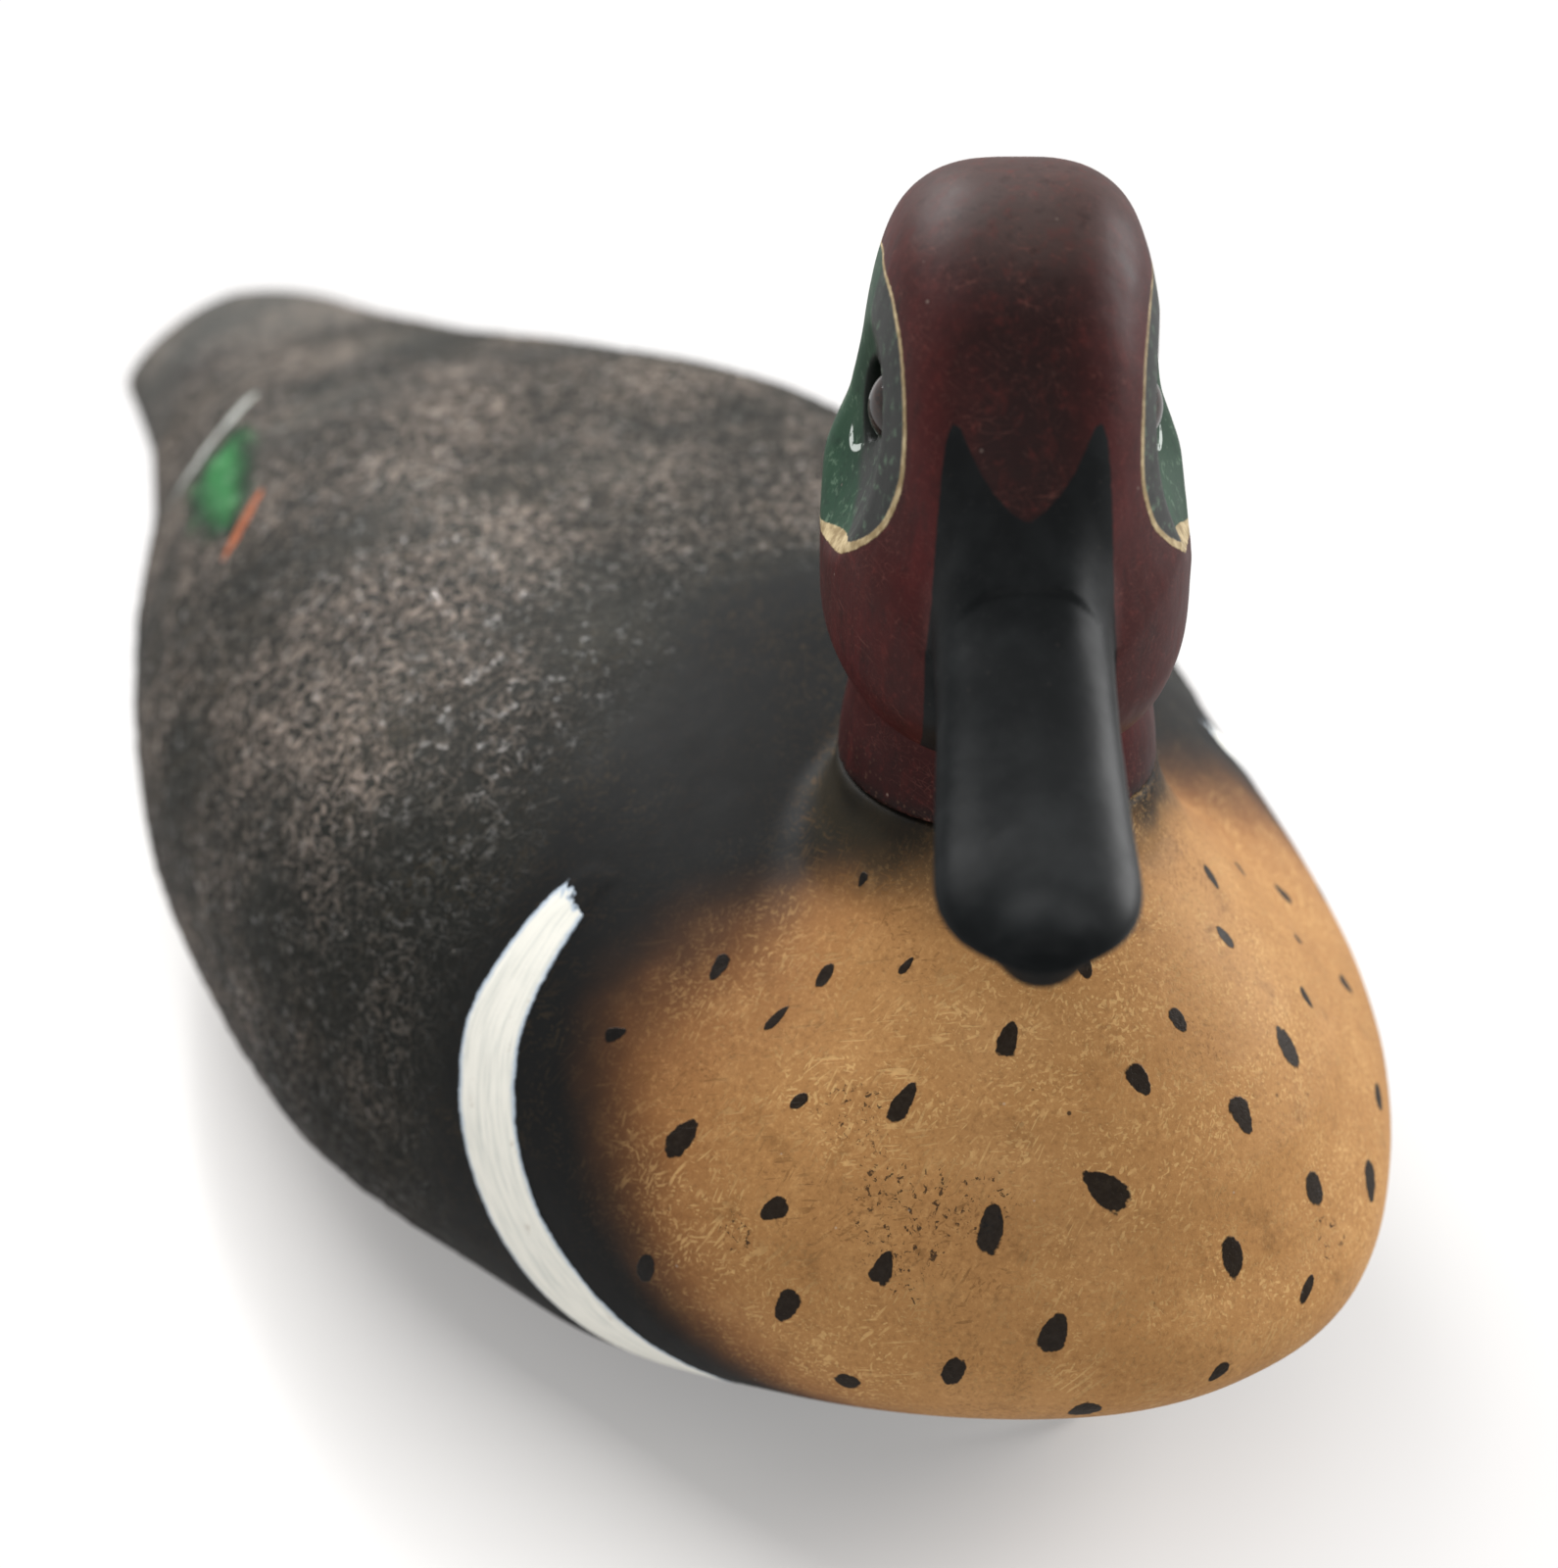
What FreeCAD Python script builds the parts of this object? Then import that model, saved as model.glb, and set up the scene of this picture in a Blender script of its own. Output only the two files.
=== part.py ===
import FreeCAD, Part
import math
import os

# Floating duck decoy: a hollow two-part carved wooden body with a flat bottom,
# a separately carved head held down by a stud through the neck, glass eyes,
# a lead pad let into the bottom and a ring-and-staple line tie under the breast.
# Units mm. The duck faces -Y, its left side is +X, +Z is up, the base is z = 0.

V = FreeCAD.Vector
UP = V(0, 0, 1)
OVERCUT = 1.0                 # how far cutters reach past the surface they open
CLEAR_X, CLEAR_Y, CLEAR_Z = 120, 170, 140   # reach of blocks that clear the whole body

# ---------------------------------------------------------------- dimensions
# Body
BODY_LENGTH = 285.0           # breast to tail tip
BREAST_Y = -141.3             # foremost point of the breast
TAIL_Y = BREAST_Y + BODY_LENGTH
BASE_CUT = 6.0                # the rounded hull form is planed flat this far up
SEAM_Z = 24.0                 # joint between the upper half and the bottom board

# body form at fractions of its length: half width, crown height, keel height
BODY_U = [0, .12, .25, .4, .55, .7, .82, .92, 1.0]
BODY_HALF = [50.9, 59.9, 62.7, 70.0, 66.3, 53.5, 36.4, 26.5, 23.4]
BODY_TOP = [62.6, 77.3, 87.0, 92.1, 92.9, 85.5, 76.6, 70.9, 67.2]
BODY_LOW = [19.6, 10.3, 0, 0, 0, 0, 20.0, 43.7, 64.1]
BODY_WAIST_U = [0, .5, 1]
BODY_WAIST = [0.49, 0.41, 0.62]       # height fraction of the greatest width
BODY_TOP_POWER, BODY_LOW_POWER = 2.32, 2.37
BREAST_U, BREAST_POWER = 0.41, 2.27   # extent and fullness of the breast rounding
BODY_LOFT_U = [0.0006, 0.004, 0.012, 0.026, 0.046, 0.075, 0.115, 0.165, 0.225, 0.295, 0.37,
               0.45, 0.53, 0.61, 0.69, 0.76, 0.82, 0.87, 0.91, 0.95, 0.98, 1.0]

TAIL_START_U = 0.86           # where the tail begins to arch
TAIL_ARCH = 7.3               # drop of the tail corners
TAIL_WEDGE = 7.5              # how far the tail corners sit ahead of its tip
TAIL_CORNER_X = 26.0
TAIL_FLAT_X, TAIL_TRIM = 3, 0.35      # half width and depth of the blunted tip

# Hollow
WALL_SIDE = 15.0              # wood left at the sides
WALL_TOP = 13.0               # wood left above
WALL_LOW = 12                 # wood left over the rising keel
FLOOR_Z = 11.0                # lowest the hollow may go
HOLLOW_U = (0.095, 0.80)      # ends as fractions of body length
HOLLOW_END_POWER, HOLLOW_END_MIN = 2.6, 0.06
HOLLOW_TOP_POWER, HOLLOW_LOW_POWER = 2.4, 2.6
HOLLOW_LOFT_T = [0.0005, 0.02, 0.07, 0.15, 0.26, 0.4, 0.55, 0.7, 0.82, 0.91, 0.97, 0.9995]

# Neck seat on the body
NECK_Y = -88.0                # neck axis
NECK_Z = 83.7                 # top of the seat
# seat at falling heights: z, half width, reach forward, reach back
SEAT_FLARE = [(NECK_Z, 18.1, 18.1, 18.1), (81.2, 18.5, 18.6, 18.4), (77.5, 20.0, 20.6, 19.4),
              (73.0, 22.8, 24.8, 21.8), (67.5, 27.5, 31.0, 25.5), (60.5, 33.5, 38.4, 31.0),
              (52.5, 38.5, 44.6, 37.0), (44.0, 41.0, 48.0, 42.0), (35.0, 40.5, 45.5, 42.0)]

# Neck hardware
HEAD_GAP = 0.3                # head stands this far off the wood, on the disc
HEAD_Z = NECK_Z + HEAD_GAP
DISC_R, DISC_DEEP, DISC_PLAY = 14.0, 1.5, 0.1
STUD_R, STUD_CHAMFER = 3.0, 0.7
STUD_LOW = 47.0               # z of the lower end
STUD_UP = 27.0                # reach into the head
BUSH_OUT, BUSH_IN, BUSH_DROP = 4.5, 3.05, 0.4
SHELF_Z = 60.0                # underside of the shelf the head is bolted to
SHELF_FACE_R, SHELF_FACE_LOW = 11.0, 34.0   # flat cut under the shelf for the washer
WASHER_R, WASHER_T, WASHER_BORE_R = 9.0, 1.5, 3.2
SPRING_R, SPRING_H, SPRING_T = 7.5, 2.0, 0.8
NUT_AF, NUT_H = 10.0, 6.0     # across flats, height
NUT_LOW_R, NUT_BEVEL_R = 4.3, 4.9     # end radii of the bevels
NUT_LOW_BEVEL, NUT_TOP_BEVEL, NUT_STEP = 1.6, 0.8, 0.1
INSERT_OUT, INSERT_LEN = 4.5, 15.0
INSERT_UP = 0.5               # lower end above the head's underside
GROOVES_UP = (3.5, 9.5)       # groove starts above the head's underside
GROOVE_DEEP, GROOVE_SLOPE, GROOVE_W = 0.5, 0.4, 1.6
BORE_TOP = 120                # bores along the neck axis are cut from z = 0 to here

# Seam dowels
DOWEL_R, DOWEL_CHAMFER = 3.0, 0.6
DOWELS = [(53.0, -56.0), (-53.0, -56.0), (49.0, 39.0), (-49.0, 39.0)]
DOWEL_LOW, DOWEL_TOP = 15.5, 35.0
DOWEL_GAP = 0.5               # room at each end of the hole

# Ballast pad
PAD_L, PAD_W, PAD_T, PAD_Y = 78.0, 34.0, 6.0, 4.0
PAD_CORNER_R, PAD_CHAMFER = 11.0, 0.5
PAD_PLAY = 0.6                # pocket is longer and wider than the pad by this
PAD_SCREWS = (-26.0, 26.0)    # y offsets from the pad centre
SCREW_HEAD_R, SCREW_HEAD_Z = 3.6, 0.2
SCREW_SHANK = [(3.6, 0.5), (1.75, 2.5), (1.75, 8.4), (0, 9.6)]   # (radius, z) up to the tip
SLOT_HALF_L, SLOT_HALF_W, SLOT_TOP = 4.5, 0.45, 1.2

# Line tie
TIE_Y = -111.3
WIRE_R = 0.9
STAPLE_HALF = 2.9             # half the distance between the staple legs
STAPLE_OUT = 4.2              # crown centre below the wood
STAPLE_LEG = 13.0             # leg length in the wood
STAPLE_BEND = 1.6
BEND_MID = STAPLE_BEND * 0.293        # inset of the middle of a bend, 1 - cos 45
RING_R = 4.7                  # to the centre of the ring's wire
RING_LIFT = 1.95              # ring wire centre above the crown's
TIE_HOLE_BELOW = 6            # leg holes start this far below the wood

# Head, built facing -Y about the neck axis, heights above its underside
HEAD_TURN = -32.2             # degrees, toward the duck's right
# skull form from nape to forehead: half width, crown height, lower edge height
SKULL_T = [0, .25, .5, .75, 1]
SKULL_HALF = [16.7, 20.1, 19.9, 18.7, 13.5]
SKULL_TOP = [51.1, 65.2, 67.3, 63.9, 47.7]
SKULL_LOW = [18.2, 8.0, 7.3, 7.0, 12.0]
SKULL_BACK, SKULL_FRONT = -28.8, 29.9   # distances ahead of the neck axis
SKULL_WAIST = 0.23            # height fraction of the greatest width
SKULL_TOP_POWER, SKULL_LOW_POWER = 3.5, 2.1
NAPE_POWER = 2.7              # fullness of the back of the head
FOREHEAD_POWER = 0.75
# narrowing of the upper part of a section: height fraction, share of the width
SKULL_SIDE_UP = [0, .25, .45, .62, .78, .9, 1]
SKULL_SIDE = [1, .985, .85, .81, .815, .82, .76]
SKULL_LOFT_T = [0.0008, 0.006, 0.02, 0.05, 0.1, 0.17, 0.26, 0.37, 0.5, 0.63, 0.74, 0.83, 0.9,
                0.95, 0.98, 0.994, 0.9992]

NECK_R = 17.9                 # neck radius at the seat
NECK_WAIST_R = 16.4
NECK_TOP_R, NECK_TOP = NECK_WAIST_R - 1.4, 34
# neck outline: radius, height
NECK_OUTLINE = [(NECK_R, 0), (NECK_R - 0.35, 4), (NECK_WAIST_R + 0.3, 9), (NECK_WAIST_R, 14),
                (NECK_WAIST_R, 22), (NECK_TOP_R, NECK_TOP)]

# bill form from root to tip: half width, top height; thickness at three stations
BILL_LEN = 39.2
BILL_ROOT = SKULL_FRONT - 6   # distance ahead of the neck axis
BILL_T = [0, .25, .5, .75, 1]
BILL_HALF = [9.1, 8.8, 9.2, 9.7, 9.9]
BILL_TOP = [38.3, 32.2, 26.0, 21.6, 19.2]
BILL_THICK_T = [0, .5, 1]
BILL_THICK = [15.0, 9.6, 6.4]
BILL_WAIST = 0.4              # height fraction of the greatest width
BILL_TOP_POWER, BILL_LOW_POWER = 2.3, 2.6
BILL_TIP_T, BILL_TIP_POWER = 0.72, 2.4      # start and fullness of the tip rounding
BILL_LOFT_T = [-0.35, -0.15, 0.0, 0.12, 0.25, 0.4, 0.55, 0.7, 0.8, 0.88, 0.94, 0.975, 0.994]

NAIL_SIZE = (4.2, 3.4, 4.0)   # half axes
NAIL_BACK, NAIL_DROP = 3.6, 4.6       # centre behind the bill tip and below its top

EYE_R, EYE_BED_R = 4.5, 5.7
EYE_FWD, EYE_UP, EYE_X = 6.0, 44.3, 10.6
EYE_DISH_R, EYE_DISH_X = 26.0, 13.3   # dish radius, x of its deepest point

os.makedirs("parts", exist_ok=True)


# ------------------------------------------------------------------- helpers
def smooth(xs, ys):
    """Monotone cubic through three or more stations, held level beyond the ends."""
    count = len(xs)
    steps = [xs[i + 1] - xs[i] for i in range(count - 1)]
    slopes = [(ys[i + 1] - ys[i]) / steps[i] for i in range(count - 1)]

    def end_tangent(step, next_step, slope, next_slope):
        value = ((2 * step + next_step) * slope - step * next_slope) / (step + next_step)
        if value * slope <= 0:
            return 0.0
        if slope * next_slope <= 0 and abs(value) > 3 * abs(slope):
            return 3 * slope
        return value

    tangents = [0.0] * count
    for i in range(1, count - 1):
        if slopes[i - 1] * slopes[i] > 0:
            before = 2 * steps[i] + steps[i - 1]
            after = steps[i] + 2 * steps[i - 1]
            tangents[i] = (before + after) / (before / slopes[i - 1] + after / slopes[i])
    tangents[0] = end_tangent(steps[0], steps[1], slopes[0], slopes[1])
    tangents[-1] = end_tangent(steps[-1], steps[-2], slopes[-1], slopes[-2])

    def curve(x):
        x = min(max(x, xs[0]), xs[-1])
        i = 0
        while i < count - 2 and x > xs[i + 1]:
            i += 1
        t = (x - xs[i]) / steps[i]
        return ((1 + 2 * t) * (1 - t) ** 2 * ys[i]
                + t * (1 - t) ** 2 * steps[i] * tangents[i]
                + t * t * (3 - 2 * t) * ys[i + 1]
                + t * t * (t - 1) * steps[i] * tangents[i + 1])

    return curve


def turn_angles(count):
    return [2 * math.pi * (k + 0.5) / count for k in range(count)]


def oval(half, top, low, mid, top_power, low_power, count, side=None):
    """(across, up) points of a superellipse section; side narrows its upper part by height."""
    points = []
    for angle in turn_angles(count):
        cosine, sine = math.cos(angle), math.sin(angle)
        upper_part = sine >= 0
        power = 2.0 / (top_power if upper_part else low_power)
        rise = abs(sine) ** power
        x = half * math.copysign(abs(cosine) ** power, cosine)
        z = mid + (top - mid) * rise if upper_part else mid - (mid - low) * rise
        if upper_part and side:
            x *= side(rise)
        points.append((x, z))
    return points


def loft(rows):
    """Solid through closed smooth sections, each given as a list of points."""
    wires = []
    for row in rows:
        curve = Part.BSplineCurve()
        curve.interpolate(Points=row, PeriodicFlag=True)
        wires.append(Part.Wire([curve.toShape()]))
    return Part.makeLoft(wires, True, False)


def polygon_face(points):
    return Part.Face(Part.makePolygon(points + points[:1]))


def cyl(radius, z0, z1, x=0.0, y=0.0):
    return Part.makeCylinder(radius, z1 - z0, V(x, y, z0), UP)


def turned(profile, x=0.0, y=0.0):
    """A solid turned about a vertical axis from (radius, height) corners."""
    solid = polygon_face([V(r, 0, z) for r, z in profile]).revolve(V(0, 0, 0), UP, 360)
    solid.translate(V(x, y, 0))
    return solid


def block(x0, x1, y0, y1, z0, z1):
    return Part.makeBox(x1 - x0, y1 - y0, z1 - z0, V(x0, y0, z0))


def save(name, shape):
    # some boolean results may come out invalid until their faces are merged
    if not shape.isValid():
        shape = shape.removeSplitter()
    shape.exportStep("parts/%s.step" % name)


# ---------------------------------------------------------------- body form
body_half, body_top = smooth(BODY_U, BODY_HALF), smooth(BODY_U, BODY_TOP)
body_low, body_waist = smooth(BODY_U, BODY_LOW), smooth(BODY_WAIST_U, BODY_WAIST)


def body_section(u):
    """Half width, top and low of the hull section at u, before the base is planed."""
    swell = (1 - max(0.0, 1 - u / BREAST_U) ** BREAST_POWER) ** (1 / BREAST_POWER)
    top, low = body_top(u), body_low(u)
    mid = low + (top - low) * body_waist(u)
    return body_half(u) * swell, mid + (top - mid) * swell, mid - (mid - low) * swell, mid


def body_row(u):
    half, top, low, mid = body_section(u)
    tail = min(max((u - TAIL_START_U) / (1 - TAIL_START_U), 0.0), 1.0)
    section = oval(half, top, low, mid, BODY_TOP_POWER, BODY_LOW_POWER, 40)
    return [V(x, BREAST_Y + BODY_LENGTH * u, z - BASE_CUT - tail * TAIL_ARCH * (x / half) ** 2)
            for x, z in section]


def body_plan():
    """Prism above z = 0 whose rear edge is a shallow wedge seen from above."""
    def wedge_y(x):
        return TAIL_Y - TAIL_WEDGE * x / BODY_HALF[-1]

    front_y, tip_y = BREAST_Y - 20, TAIL_Y - TAIL_TRIM
    outline = [(-CLEAR_X, front_y), (CLEAR_X, front_y), (CLEAR_X, wedge_y(CLEAR_X)),
               (TAIL_CORNER_X, wedge_y(TAIL_CORNER_X)), (TAIL_FLAT_X, tip_y),
               (-TAIL_FLAT_X, tip_y), (-TAIL_CORNER_X, wedge_y(TAIL_CORNER_X)),
               (-CLEAR_X, wedge_y(CLEAR_X))]
    return polygon_face([V(x, y, 0) for x, y in outline]).extrude(V(0, 0, CLEAR_Z))


def seat_row(z, side, front, back):
    return [V(side * math.cos(a), NECK_Y + (back if math.sin(a) > 0 else front) * math.sin(a), z)
            for a in turn_angles(36)]


form = loft([body_row(u) for u in BODY_LOFT_U])
form = form.common(body_plan())       # also planes the bottom flat at z = 0
# raised seat that the neck stands on, flaring into the back and the full chest
form = form.fuse(loft([seat_row(*row) for row in SEAT_FLARE]))


# ------------------------------------------------------------------- hollow
def hollow_row(t):
    u = HOLLOW_U[0] + (HOLLOW_U[1] - HOLLOW_U[0]) * t
    half, top, low, _ = body_section(u)
    swell = (1 - abs(2 * t - 1) ** HOLLOW_END_POWER) ** (1 / HOLLOW_END_POWER)
    swell = max(swell, HOLLOW_END_MIN)
    half = (half - WALL_SIDE) * swell
    top = SEAM_Z + (top - BASE_CUT - WALL_TOP - SEAM_Z) * swell
    low = SEAM_Z - (SEAM_Z - max(FLOOR_Z, low - BASE_CUT + WALL_LOW)) * swell
    section = oval(half, top, low, SEAM_Z, HOLLOW_TOP_POWER, HOLLOW_LOW_POWER, 32)
    return [V(x, BREAST_Y + BODY_LENGTH * u, z) for x, z in section]


hollow = loft([hollow_row(t) for t in HOLLOW_LOFT_T])


# -------------------------------------------------------------- seam dowels
def dowel(x, y):
    pin = cyl(DOWEL_R, DOWEL_LOW, DOWEL_TOP, x, y)
    rims = [e for e in pin.Edges if e.Curve.TypeId == "Part::GeomCircle"]
    return pin.makeChamfer(DOWEL_CHAMFER, rims)


dowel_holes = [cyl(DOWEL_R, DOWEL_LOW - DOWEL_GAP, DOWEL_TOP + DOWEL_GAP, x, y)
               for x, y in DOWELS]
save("seam_dowels", Part.makeCompound([dowel(x, y) for x, y in DOWELS]))


# ------------------------------------------------------------------ ballast
def rounded_block(length, width, z0, z1):
    solid = block(-width / 2, width / 2, PAD_Y - length / 2, PAD_Y + length / 2, z0, z1)
    uprights = [e for e in solid.Edges if abs(e.tangentAt(e.FirstParameter).z) > 0.9]
    return solid.makeFillet(PAD_CORNER_R, uprights)


def screw_blank(y, low):
    """Countersunk screw form pointing up, its head reaching down to low."""
    return turned([(0, low), (SCREW_HEAD_R, low)] + SCREW_SHANK, 0, y)


def pad_screw(y):
    slot = block(-SLOT_HALF_L, SLOT_HALF_L, y - SLOT_HALF_W, y + SLOT_HALF_W, -OVERCUT, SLOT_TOP)
    return screw_blank(y, SCREW_HEAD_Z).cut(slot)


pad_holes = [screw_blank(PAD_Y + offset, -OVERCUT) for offset in PAD_SCREWS]
pocket = rounded_block(PAD_L, PAD_W, -OVERCUT, PAD_T)
pad = rounded_block(PAD_L - PAD_PLAY, PAD_W - PAD_PLAY, 0.0, PAD_T)
pad = pad.makeChamfer(PAD_CHAMFER, [e for e in pad.Edges if e.BoundBox.ZMax < 0.01])
save("ballast_pad", pad.cut(pad_holes))
save("ballast_screws", Part.makeCompound([pad_screw(PAD_Y + offset) for offset in PAD_SCREWS]))

# ----------------------------------------------------------------- line tie
tie_wood = body_section((TIE_Y - BREAST_Y) / BODY_LENGTH)[2] - BASE_CUT   # wood over the tie
crown_z = tie_wood - STAPLE_OUT
leg_top = tie_wood + STAPLE_LEG


def staple():
    """U of round wire, swept from the front leg over the low crown to the rear leg."""
    front = [(-STAPLE_HALF, leg_top), (-STAPLE_HALF, crown_z + STAPLE_BEND),
             (-STAPLE_HALF + BEND_MID, crown_z + BEND_MID), (-STAPLE_HALF + STAPLE_BEND, crown_z)]
    rear = [(-y, z) for y, z in reversed(front)]
    p = [V(0, TIE_Y + y, z) for y, z in front + rear]
    path = Part.Wire([Part.makeLine(p[0], p[1]), Part.Arc(p[1], p[2], p[3]).toShape(),
                      Part.makeLine(p[3], p[4]), Part.Arc(p[4], p[5], p[6]).toShape(),
                      Part.makeLine(p[6], p[7])])
    section = Part.Wire([Part.makeCircle(WIRE_R, p[0], V(0, 0, -1))])
    return path.makePipeShell([section], True, True)


leg_holes = [cyl(WIRE_R, tie_wood - TIE_HOLE_BELOW, leg_top, 0, TIE_Y + offset)
             for offset in (-STAPLE_HALF, STAPLE_HALF)]
save("tie_staple", staple())
ring_centre = V(0, TIE_Y, crown_z + RING_LIFT - RING_R)
save("tie_ring", Part.makeTorus(RING_R, WIRE_R, ring_centre, V(0, 1, 0)))


# --------------------------------------------------------------- body halves
def neck_cyl(radius, z0, z1):
    return cyl(radius, z0, z1, 0, NECK_Y)


shelf_face = neck_cyl(SHELF_FACE_R, SHELF_FACE_LOW, SHELF_Z)
disc_recess = neck_cyl(DISC_R + DISC_PLAY, NECK_Z - DISC_DEEP, NECK_Z + OVERCUT)
bush_hole = neck_cyl(BUSH_OUT, SHELF_Z - OVERCUT, NECK_Z)

upper = form.common(block(-CLEAR_X, CLEAR_X, -CLEAR_Y, CLEAR_Y, SEAM_Z, CLEAR_Z))
upper = upper.cut([hollow, shelf_face, disc_recess, bush_hole] + dowel_holes)
save("body_upper", upper.cut(leg_holes))

lower = form.common(block(-CLEAR_X, CLEAR_X, -CLEAR_Y, CLEAR_Y, -OVERCUT, SEAM_Z))
save("body_base", lower.cut([hollow, pocket] + dowel_holes + pad_holes + leg_holes))


# ------------------------------------------------------------ neck hardware
def bored(shape, radius):
    return shape.cut(neck_cyl(radius, 0, BORE_TOP))


def spring(top):
    """Dished washer, its outer rim at the top."""
    low = top - SPRING_H
    return turned([(WASHER_BORE_R, low), (SPRING_R, top - SPRING_T), (SPRING_R, top),
                   (WASHER_BORE_R, low + SPRING_T)], 0, NECK_Y)


def nut(top):
    low = top - NUT_H
    corner_r = NUT_AF / 2 / math.cos(math.pi / 6)
    corners = [V(corner_r * math.cos(math.pi / 3 * k),
                 NECK_Y + corner_r * math.sin(math.pi / 3 * k), low) for k in range(6)]
    outer_r = corner_r + 0.1
    bevels = turned([(0, low), (NUT_LOW_R, low), (NUT_BEVEL_R, low + NUT_LOW_BEVEL),
                     (outer_r, low + NUT_LOW_BEVEL + NUT_STEP), (outer_r, top - NUT_TOP_BEVEL),
                     (NUT_BEVEL_R, top), (0, top)], 0, NECK_Y)
    return bored(polygon_face(corners).extrude(V(0, 0, NUT_H)).common(bevels), STUD_R)


def stud():
    top, end_r = HEAD_Z + STUD_UP, STUD_R - STUD_CHAMFER
    return turned([(0, STUD_LOW), (end_r, STUD_LOW), (STUD_R, STUD_LOW + STUD_CHAMFER),
                   (STUD_R, top - STUD_CHAMFER), (end_r, top), (0, top)], 0, NECK_Y)


def insert():
    """Sleeve around the stud with two shallow grooves outside."""
    low = HEAD_Z + INSERT_UP
    top = low + INSERT_LEN
    groove_r = INSERT_OUT - GROOVE_DEEP
    profile = [(STUD_R, low), (INSERT_OUT, low)]
    for groove in GROOVES_UP:
        z = HEAD_Z + groove
        profile += [(INSERT_OUT, z), (groove_r, z + GROOVE_SLOPE),
                    (groove_r, z + GROOVE_W - GROOVE_SLOPE), (INSERT_OUT, z + GROOVE_W)]
    return turned(profile + [(INSERT_OUT, top), (STUD_R, top)], 0, NECK_Y)


washer_low = SHELF_Z - WASHER_T
save("neck_bushing", bored(neck_cyl(BUSH_OUT, SHELF_Z, NECK_Z - BUSH_DROP), BUSH_IN))
save("neck_disc", bored(neck_cyl(DISC_R, NECK_Z - DISC_DEEP, HEAD_Z), BUSH_OUT))
save("neck_washer", bored(neck_cyl(WASHER_R, washer_low, SHELF_Z), WASHER_BORE_R))
save("neck_spring", spring(washer_low))
save("neck_nut", nut(washer_low - SPRING_H))
save("neck_stud", stud())
save("head_insert", insert())

# --------------------------------------------------------------------- head
skull_half, skull_top = smooth(SKULL_T, SKULL_HALF), smooth(SKULL_T, SKULL_TOP)
skull_low, skull_side = smooth(SKULL_T, SKULL_LOW), smooth(SKULL_SIDE_UP, SKULL_SIDE)
bill_half, bill_top = smooth(BILL_T, BILL_HALF), smooth(BILL_T, BILL_TOP)
bill_thick = smooth(BILL_THICK_T, BILL_THICK)


def skull_row(t):
    if t < 0.5:
        swell = (1 - (1 - 2 * t) ** NAPE_POWER) ** (1 / NAPE_POWER)
    else:
        swell = math.sqrt(max(0.0, 1 - (2 * t - 1) ** 2)) ** FOREHEAD_POWER
    top, low = skull_top(t), skull_low(t)
    mid = low + (top - low) * SKULL_WAIST
    forward = SKULL_BACK + (SKULL_FRONT - SKULL_BACK) * t
    section = oval(skull_half(t) * swell, mid + (top - mid) * swell, mid - (mid - low) * swell,
                   mid, SKULL_TOP_POWER, SKULL_LOW_POWER, 44, skull_side)
    return [V(x, -forward, z) for x, z in section]


def neck():
    outline = Part.BSplineCurve()
    outline.interpolate([V(r, 0, z) for r, z in NECK_OUTLINE])
    foot, top = V(0, 0, 0), V(0, 0, NECK_TOP)
    wire = Part.Wire([Part.makeLine(foot, V(NECK_R, 0, 0)), outline.toShape(),
                      Part.makeLine(V(NECK_TOP_R, 0, NECK_TOP), top), Part.makeLine(top, foot)])
    return Part.Face(wire).revolve(foot, UP, 360)


def bill_row(t):
    tip = max(0.0, (t - BILL_TIP_T) / (1 - BILL_TIP_T))
    swell = max(1 - tip ** BILL_TIP_POWER, 1e-4) ** 0.5
    top, thick = bill_top(t), bill_thick(t)
    low = top - thick
    section = oval(bill_half(t) * swell, top, low, low + BILL_WAIST * thick,
                   BILL_TOP_POWER, BILL_LOW_POWER, 28)
    return [V(x, -(BILL_ROOT + BILL_LEN * t), z) for x, z in section]


def nail():
    """Ellipsoid hooked down over the bill tip."""
    stretch = FreeCAD.Matrix()
    stretch.scale(*NAIL_SIZE)
    solid = Part.makeSphere(1.0).transformGeometry(stretch)
    solid.translate(V(0, -(BILL_ROOT + BILL_LEN - NAIL_BACK), BILL_TOP[-1] - NAIL_DROP))
    return solid


def flip(shape):
    return shape.mirror(V(0, 0, 0), V(1, 0, 0))


placement = FreeCAD.Placement(V(0, NECK_Y, HEAD_Z), FreeCAD.Rotation(UP, HEAD_TURN))


def save_placed(name, shape):
    save(name, shape.transformed(placement.toMatrix(), True))


head = loft([skull_row(t) for t in SKULL_LOFT_T]).fuse(neck())
head = head.fuse(loft([bill_row(t) for t in BILL_LOFT_T])).fuse(nail())

# one side is mirrored so that the spheres' seams face away from the skin of the head
dish = Part.makeSphere(EYE_DISH_R, V(EYE_DISH_X + EYE_DISH_R, -EYE_FWD, EYE_UP))
right_centre = V(-EYE_X, -EYE_FWD, EYE_UP)
right_eye = Part.makeSphere(EYE_R, right_centre)
right_socket = Part.makeSphere(EYE_BED_R, right_centre)
head = head.cut(dish).cut(flip(dish))
for side, eye, socket in (("left", flip(right_eye), flip(right_socket)),
                          ("right", right_eye, right_socket)):
    save_placed("eye_" + side, eye)
    save_placed("eye_bed_" + side, socket.common(head).cut(eye))
    head = head.cut(socket)

insert_hole = cyl(INSERT_OUT, -OVERCUT, INSERT_UP + INSERT_LEN + 1)
stud_hole = cyl(STUD_R + 0.15, 0, STUD_UP + 1)
save_placed("head", head.cut([insert_hole, stud_hole]))
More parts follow.
